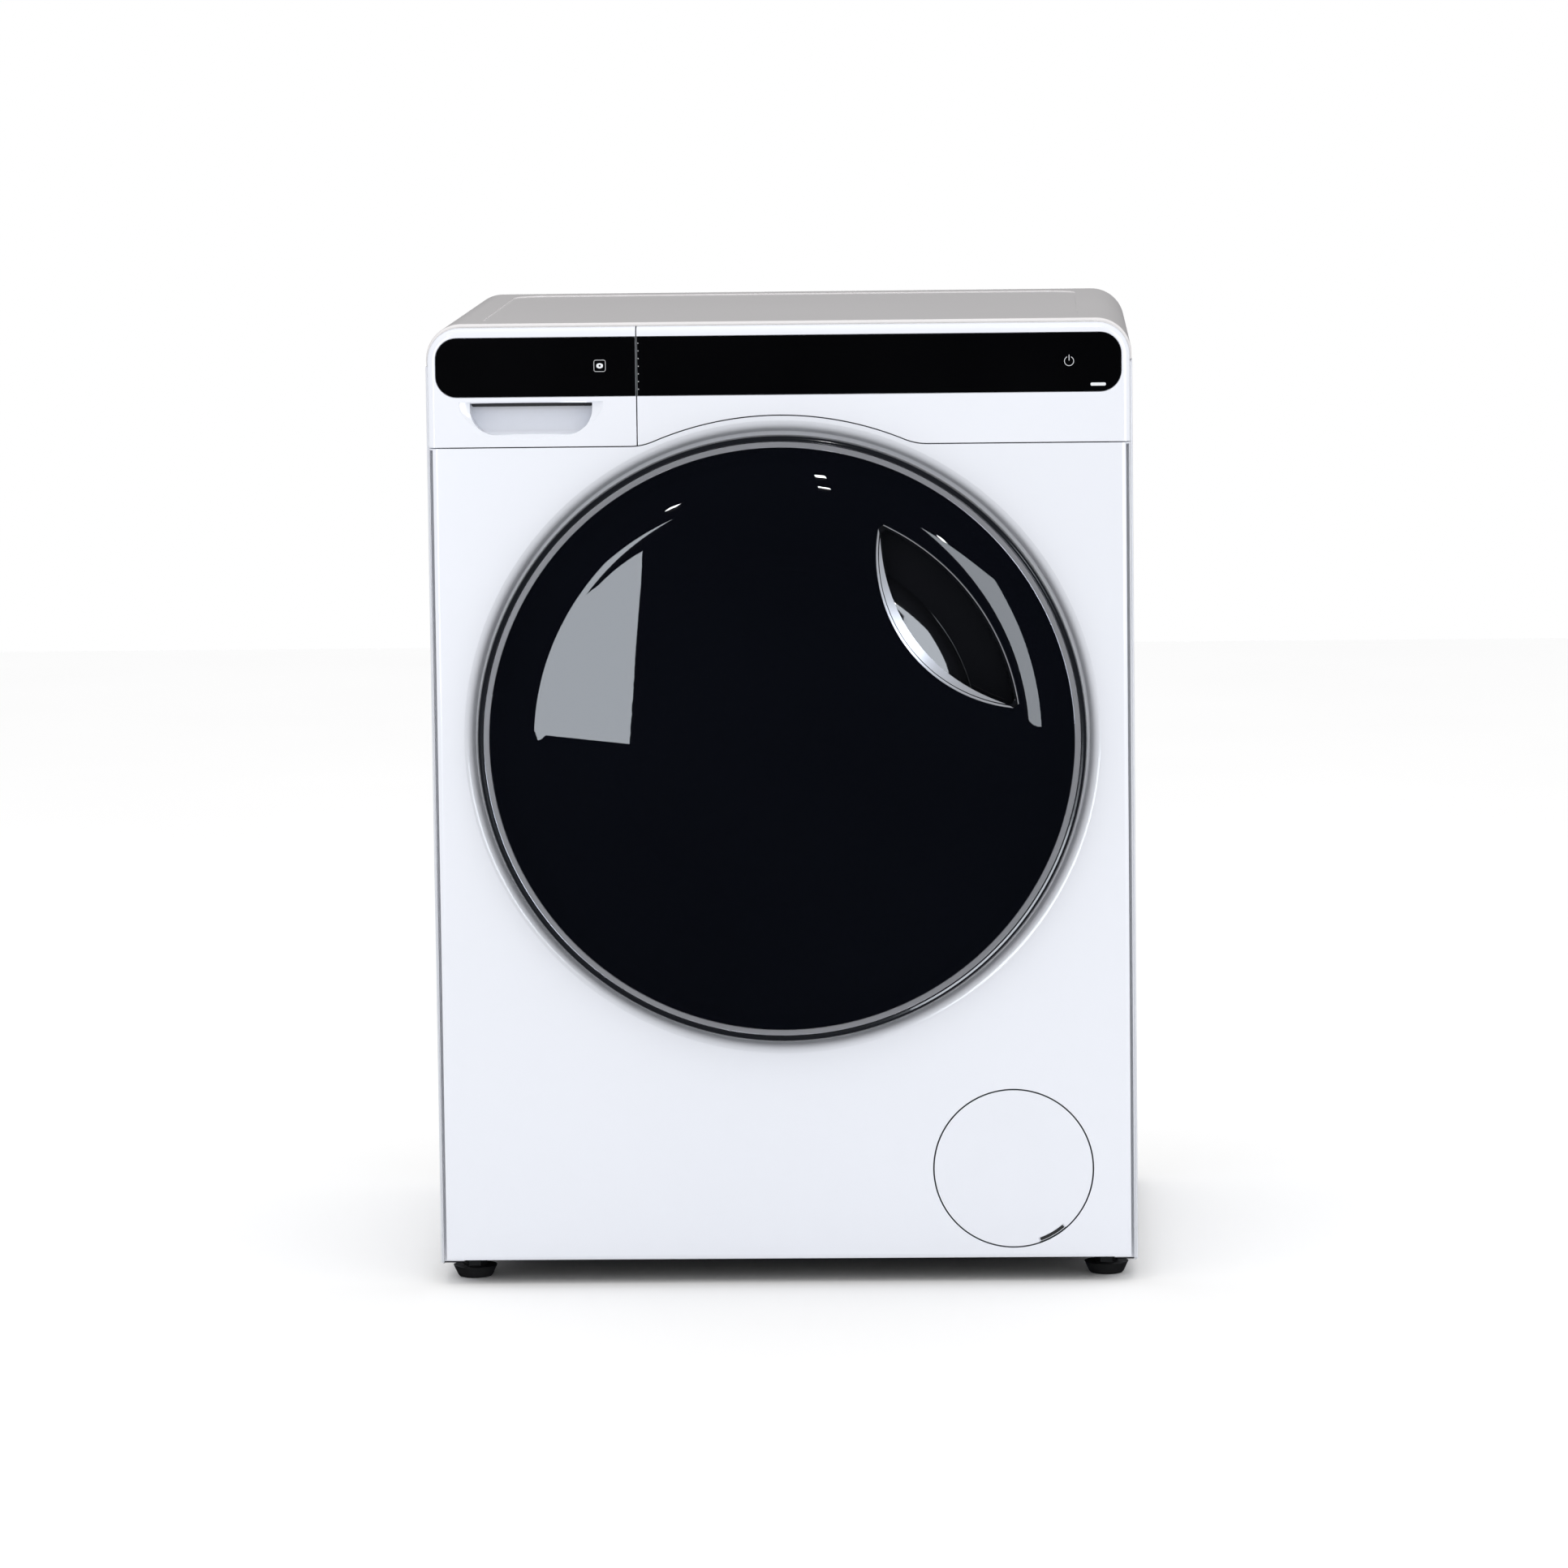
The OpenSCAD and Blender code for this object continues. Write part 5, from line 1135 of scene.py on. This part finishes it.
    def springs(self) -> None:
        """Two wound springs between the side brackets and the tub's lugs."""
        low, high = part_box("suspension_springs")
        x, ys = high[0] - 0.0105, (low[1] + high[1]) / 2
        top, bottom = high[2] - 0.0118, low[2] + 0.0245
        turns, per = 26, 16
        pts = [(0.009 * math.cos(math.tau * i / per), 0.009 * math.sin(math.tau * i / per), bottom + (top - bottom) * i / (turns * per)) for i in range(turns * per + 1)]
        both = []
        for sign in (-1, 1):
            wire = Edit("coil").tube([(sign * x + a, ys + b, c) for a, b, c in pts], 0.0015, 8)
            for z0, z1, r in ((bottom - 0.0015, bottom + 0.0012, 0.009), (top - 0.0012, top + 0.0015, 0.009), (low[2], low[2] + 0.003, 0.004), (high[2] - 0.0025, high[2], 0.004), (low[2] + 0.001, bottom, 0.002), (top, high[2] - 0.001, 0.002)):
                wire.join(Edit("end").bar((sign * x, ys, z0), (sign * x, ys, z1), r, 24))
            both.append(wire)
        both[0].join(both[1])
        both[0].name = both[0].obj.name = both[0].obj.data.name = "spring_wires"
        self.bend(both[0], "spring_steel", "suspension_springs", (0, ys, high[2] - 0.010), (0, ys, low[2] + 0.012))

    def hoses(self) -> None:
        """The ribbed fill and sump hoses."""
        low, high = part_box("fill_hose")
        x, y = (low[0] + high[0]) / 2, (low[1] + high[1]) / 2
        profile: list[Point] = [(0.0124, 0.0), (0.0155, 0.0), (0.0155, 0.010)]
        steps = int((high[2] - low[2] - 0.022) / 0.006)
        for i in range(steps):
            z = 0.011 + i * 0.006
            profile += [(0.0150, z), (0.0176, z + 0.0018), (0.0176, z + 0.0034), (0.0150, z + 0.0052)]
        tall = high[2] - low[2]
        profile += [(0.0155, tall - 0.010), (0.0155, tall), (0.0124, tall)]
        hose = Edit("fill_bellows").lathe(profile, (0, 0), 48)
        hose.obj.data.transform(Matrix.Translation((x, y, low[2])) @ Matrix.Rotation(math.radians(90), 4, "X"))
        flip_up(hose, low[2], high[2])
        self.bend(hose, "hose_black", "fill_hose", (x, y, high[2] - 0.010), (x, y, low[2] + 0.010))
        self.sump()

    def sump(self) -> None:
        """The hose from the tub's lowest spigot, down and round to the pump, with moulded rings."""
        low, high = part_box("sump_hose")
        r, bend = 0.018, 0.050
        x, y, z = low[0] + r, (low[1] + high[1]) / 2, low[2] + r
        corner = [(a, y, b) for a, b in arc(x + bend, z + bend, bend, 180, 270, 14)]

        def run(past: float) -> list[Point3]:
            return [(x, y, high[2] + past)] + corner + [(high[0] + past, y, z)]

        hose = Edit("sump_bellows").tube(run(0.0), 0.0167, 40)
        hose.boolean(Edit("bore").tube(run(0.003), 0.0151, 40))
        section = [(0.0158, -0.0013), (0.0172, -0.0014), (r, -0.0006), (r, 0.0006), (0.0172, 0.0014), (0.0158, 0.0013)]
        rings = []
        for i in range(int((high[2] - z - bend - 0.006) / 0.0055)):
            place = Matrix.Translation((x, y, z + bend + 0.002 + 0.0055 * i)) @ Matrix.Rotation(math.radians(90), 4, "X")
            rings.append((place, "rise"))
        for along in (high[0] - 0.004, high[0] - 0.010):
            rings.append((Matrix.Translation((along, y, z)) @ Matrix.Rotation(math.radians(90), 4, "Z"), "run"))
        for place, name in rings:
            ring = Edit(name).lathe(section, (0, 0), 48)
            ring.obj.data.transform(place)
            hose.join(ring)
        self.bend(hose, "hose_black", "sump_hose", (x, y, z + bend), (x, y, high[2] - 0.010))

    def pulley(self) -> None:
        """The ribbed belt round both pulleys."""
        low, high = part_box("drive_belt")
        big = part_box("drum_pulley")
        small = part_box("motor_pulley")
        c0, r0 = (0.0, S.door_z), (big[1][0] - big[0][0]) / 2
        c1, r1 = ((small[0][0] + small[1][0]) / 2, (small[0][2] + small[1][2]) / 2), (small[1][0] - small[0][0]) / 2
        gap = math.hypot(c1[0] - c0[0], c1[1] - c0[1])
        lean = math.atan2(c1[1] - c0[1], c1[0] - c0[0])
        tilt = math.acos((r0 - r1) / gap)

        def loop(grow: float) -> list[Point]:
            a, b = math.degrees(lean + tilt), math.degrees(lean - tilt)
            return arc(*c0, r0 + grow, a, b + 360, 72) + arc(*c1, r1 + grow, b, a, 24)

        belt = Edit("belt_loop").prism(loop(0.0034), low[1] + 0.0003, high[1] - 0.0003)
        belt.boolean(Edit("inside").prism(loop(0.0006), low[1] - 0.01, high[1] + 0.01))
        belt.bevel(0.0005, 2, 60)
        belt.done("tub", "belt_rubber", "drive_belt")


class Rear(Assembly):
    """Small things on the back: a grille, a cable gland with no lead, and ribs on the cover."""

    title = "rear"

    def build(self) -> None:
        low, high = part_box("rear_cover")
        mid, y = (low[2] + high[2]) / 2, high[1]
        ribs = []
        for i in range(-3, 4):
            half = 0.105 - abs(i) * 0.006
            ribs.append(Edit("rib").prism(round_box(-half, half, mid + i * 0.036 - 0.004, mid + i * 0.036 + 0.004, [0.0038] * 4, 6), low[1] + 0.0008, low[1] + 0.0032).bevel(0.0008, 2, 50))
        ribs[0].join(*ribs[1:])
        ribs[0].name = ribs[0].obj.name = ribs[0].obj.data.name = "rear_cover_ribs"
        ribs[0].done("cabinet", "rear_plastic")
        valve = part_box("inlet_valve")
        z = (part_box("inlet_hose")[0][2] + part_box("inlet_hose")[1][2]) / 2
        gland = Edit("mains_gland").lathe([(0.0, S.back - 0.006), (0.0075, S.back - 0.006), (0.0075, S.back + 0.0004), (0.012, S.back + 0.0004), (0.012, S.back + 0.0025), (0.0095, S.back + 0.0042), (0.0085, S.back + 0.0088),
                                           (0.0065, S.back + 0.0096), (0.005, S.back + 0.0088), (0.005, S.back + 0.002), (0.0, S.back + 0.002)], (S.half - 0.070, z), 40)
        gland.done("cabinet", "base_plastic")
        thread = [(0.0128, S.back + 0.0026)]
        for i in range(6):
            y0 = S.back + 0.0032 + i * 0.0015
            thread += [(0.0132, y0), (0.0125, y0 + 0.0008)]
        thread += [(0.0124, S.back + 0.0128), (0.0100, S.back + 0.0128), (0.0100, S.back + 0.0026)]
        hx = valve[0][0] + 0.014
        screen = Edit("inlet_screen").lathe([(0.0, S.back + 0.006), (0.003, S.back + 0.0042), (0.0092, S.back + 0.0040), (0.0092, S.back + 0.0030), (0.0, S.back + 0.0030)], (hx, z), 32)
        screen.done("cabinet", "valve_blue")


class CarriedOver(Assembly):
    """Gives each exact node that still shows its own finish and softens its edges."""

    title = "carried over"
    plain = {"drain_pump": 0.0006, "motor_body": 0.0006, "tub_rear": 0.0, "tub_front": 0.0, "inlet_valve": 0.0005, "drawer_tray": 0.0006,
             "rear_cover": 0.0003, "drum_spider": 0.0008, "front_counterweight": 0.002, "top_counterweight": 0.002, "door_lock": 0.0005,
             "pump_filter": 0.0005, "dispenser_housing": 0.0004, "door_hinge_leaf": 0.0003, "hinge_bracket": 0.0003, "door_hook": 0.0003}

    def build(self) -> None:
        slots = {p["node"]: p["material_slot"] for p in frame["record"]["subparts"]}
        for name, obj in frame["nodes"].items():
            if obj.hide_render:
                continue
            material = FINISHES.get(slots[name])
            if not obj.material_slots:
                obj.data.materials.append(material)
            for place in obj.material_slots:
                place.material = material
            width = self.plain.get(name, 0.0)
            if width:
                mod = obj.modifiers.new("soft", "BEVEL")
                mod.width = width
                mod.segments = 2
                mod.limit_method = "ANGLE"
                mod.angle_limit = math.radians(50)
            LOG.info("carried over %s as %s", name, slots[name])


GROUPS = (Fascia, FrontPanel, Case, Door, Washing, Rear)


@dataclass(frozen=True)
class Softbox:
    """A rectangular light that faces a point."""

    name: str
    place: Point3
    aim: Point3
    size: Point
    watts: float
    color: Point3 = (1.0, 1.0, 1.0)
    mirrored_only: bool = True
    tilt: float = 0.0

    def hang(self) -> bpy.types.Object:
        """Adds the light.

        Returns:
            The light's object.
        """
        data = bpy.data.lights.new(self.name, "AREA")
        data.shape = "RECTANGLE"
        data.size, data.size_y = self.size
        data.energy = self.watts
        data.color = self.color
        obj = bpy.data.objects.new(self.name, data)
        bpy.context.collection.objects.link(obj)
        obj.location = self.place
        obj.rotation_euler = (Vector(self.aim) - Vector(self.place)).to_track_quat("-Z", "Y").to_euler()
        obj.rotation_euler.rotate_axis("Z", math.radians(self.tilt))
        obj.visible_diffuse = not self.mirrored_only
        LOG.info("light %s", self.name)
        return obj


class Studio(Assembly):
    """Floor, lights, surroundings and camera."""

    title = "studio"
    azimuth = 1.99
    elevation = 6.65
    distance = 6.24
    lens = 168.1
    roll = -0.0122
    aim = (0.001, 0.0, 0.4312)

    def build(self) -> None:
        Edit.alone(None)
        bpy.ops.mesh.primitive_plane_add(size=7, location=(0, 1.9, -0.0004))
        floor = bpy.context.object
        floor.name = "studio_floor"
        floor.visible_glossy = False
        floor.data.materials.append(Finish("studio_pale", (0.985, 0.985, 0.985), Grain.ENAMEL, 0.9, drift=0.004, bump=0.0).build())
        self.surroundings()
        for box in (
            Softbox("tall_left", (-1.28, -4.2, 0.78), (-1.0, 0, 0.7), (0.8, 1.45), 38.0, (0.86, 0.92, 1.0), tilt=-5.0),
            Softbox("tall_right", (1.95, -3.1, 1.15), (0.6, 0, 0.7), (1.5, 1.9), 66.0, (0.86, 0.92, 1.0)),
            Softbox("spot_mid", (0.34, -3.2, 2.65), (0, 0, 0.7), (0.12, 0.12), 3.0),
            Softbox("spot_high", (0.36, -2.4, 3.1), (0, 0, 0.7), (0.12, 0.12), 3.0),
            Softbox("spot_left", (-1.15, -3.0, 2.4), (0, 0, 0.7), (0.13, 0.13), 3.5),
            Softbox("spot_right", (1.5, -3.0, 2.1), (0, 0, 0.6), (0.10, 0.10), 2.5),
        ):
            box.hang()
        top = Softbox("top_soft", (0, -0.6, 3.6), (0, 0, 0.4), (3.0, 2.4), 22.0, (1.0, 0.97, 0.95), False)
        top.hang().visible_glossy = False
        self.camera()
        scene = bpy.context.scene
        scene.view_settings.view_transform = "Standard"
        scene.view_settings.look = "None"

    def surroundings(self) -> None:
        """White behind the object, soft grey for what lights it and dark for what glossy faces mirror."""
        world = bpy.data.worlds.new("studio")
        bpy.context.scene.world = world
        world.use_nodes = True
        world.cycles.sampling_method = "NONE"
        tree = world.node_tree
        tree.nodes.clear()
        out = tree.nodes.new("ShaderNodeOutputWorld")
        path = tree.nodes.new("ShaderNodeLightPath")
        seen, soft, mirrored = [tree.nodes.new("ShaderNodeBackground") for _ in range(3)]
        seen.inputs["Color"].default_value = (1, 1, 1, 1)
        soft.inputs["Color"].default_value = (1.0, 1.0, 1.0, 1)
        soft.inputs["Strength"].default_value = 1.04
        mirrored.inputs["Color"].default_value = (0.012, 0.014, 0.02, 1)
        mirrored.inputs["Strength"].default_value = 1.0
        first, second = tree.nodes.new("ShaderNodeMixShader"), tree.nodes.new("ShaderNodeMixShader")
        tree.links.new(path.outputs["Is Glossy Ray"], first.inputs[0])
        tree.links.new(soft.outputs[0], first.inputs[1])
        tree.links.new(mirrored.outputs[0], first.inputs[2])
        tree.links.new(path.outputs["Is Camera Ray"], second.inputs[0])
        tree.links.new(first.outputs[0], second.inputs[1])
        tree.links.new(seen.outputs[0], second.inputs[2])
        tree.links.new(second.outputs[0], out.inputs[0])

    def camera(self) -> None:
        """A long lens a little to the right of and above the front."""
        az, el = math.radians(self.azimuth), math.radians(self.elevation)
        aim = Vector((self.aim[0], S.front, self.aim[2]))
        back = Vector((math.sin(az) * math.cos(el), -math.cos(az) * math.cos(el), math.sin(el)))
        right = (-back).cross(Vector((0, 0, 1))).normalized()
        up = right.cross(-back)
        c, s = math.cos(self.roll), math.sin(self.roll)
        r2, u2 = right * c + up * s, up * c - right * s
        data = bpy.data.cameras.new("camera")
        data.lens = self.lens
        data.sensor_width = 36.0
        data.clip_end = 100.0
        cam = bpy.data.objects.new("camera", data)
        bpy.context.collection.objects.link(cam)
        turn = Matrix((r2, u2, back)).transposed().to_4x4()
        cam.matrix_world = Matrix.Translation(aim + back * self.distance) @ turn
        bpy.context.scene.camera = cam


def main() -> None:
    """Builds every group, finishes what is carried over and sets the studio."""
    for group in GROUPS:
        group().run()
    CarriedOver().run()
    Studio().run()


if __name__ == "__main__":
    main()
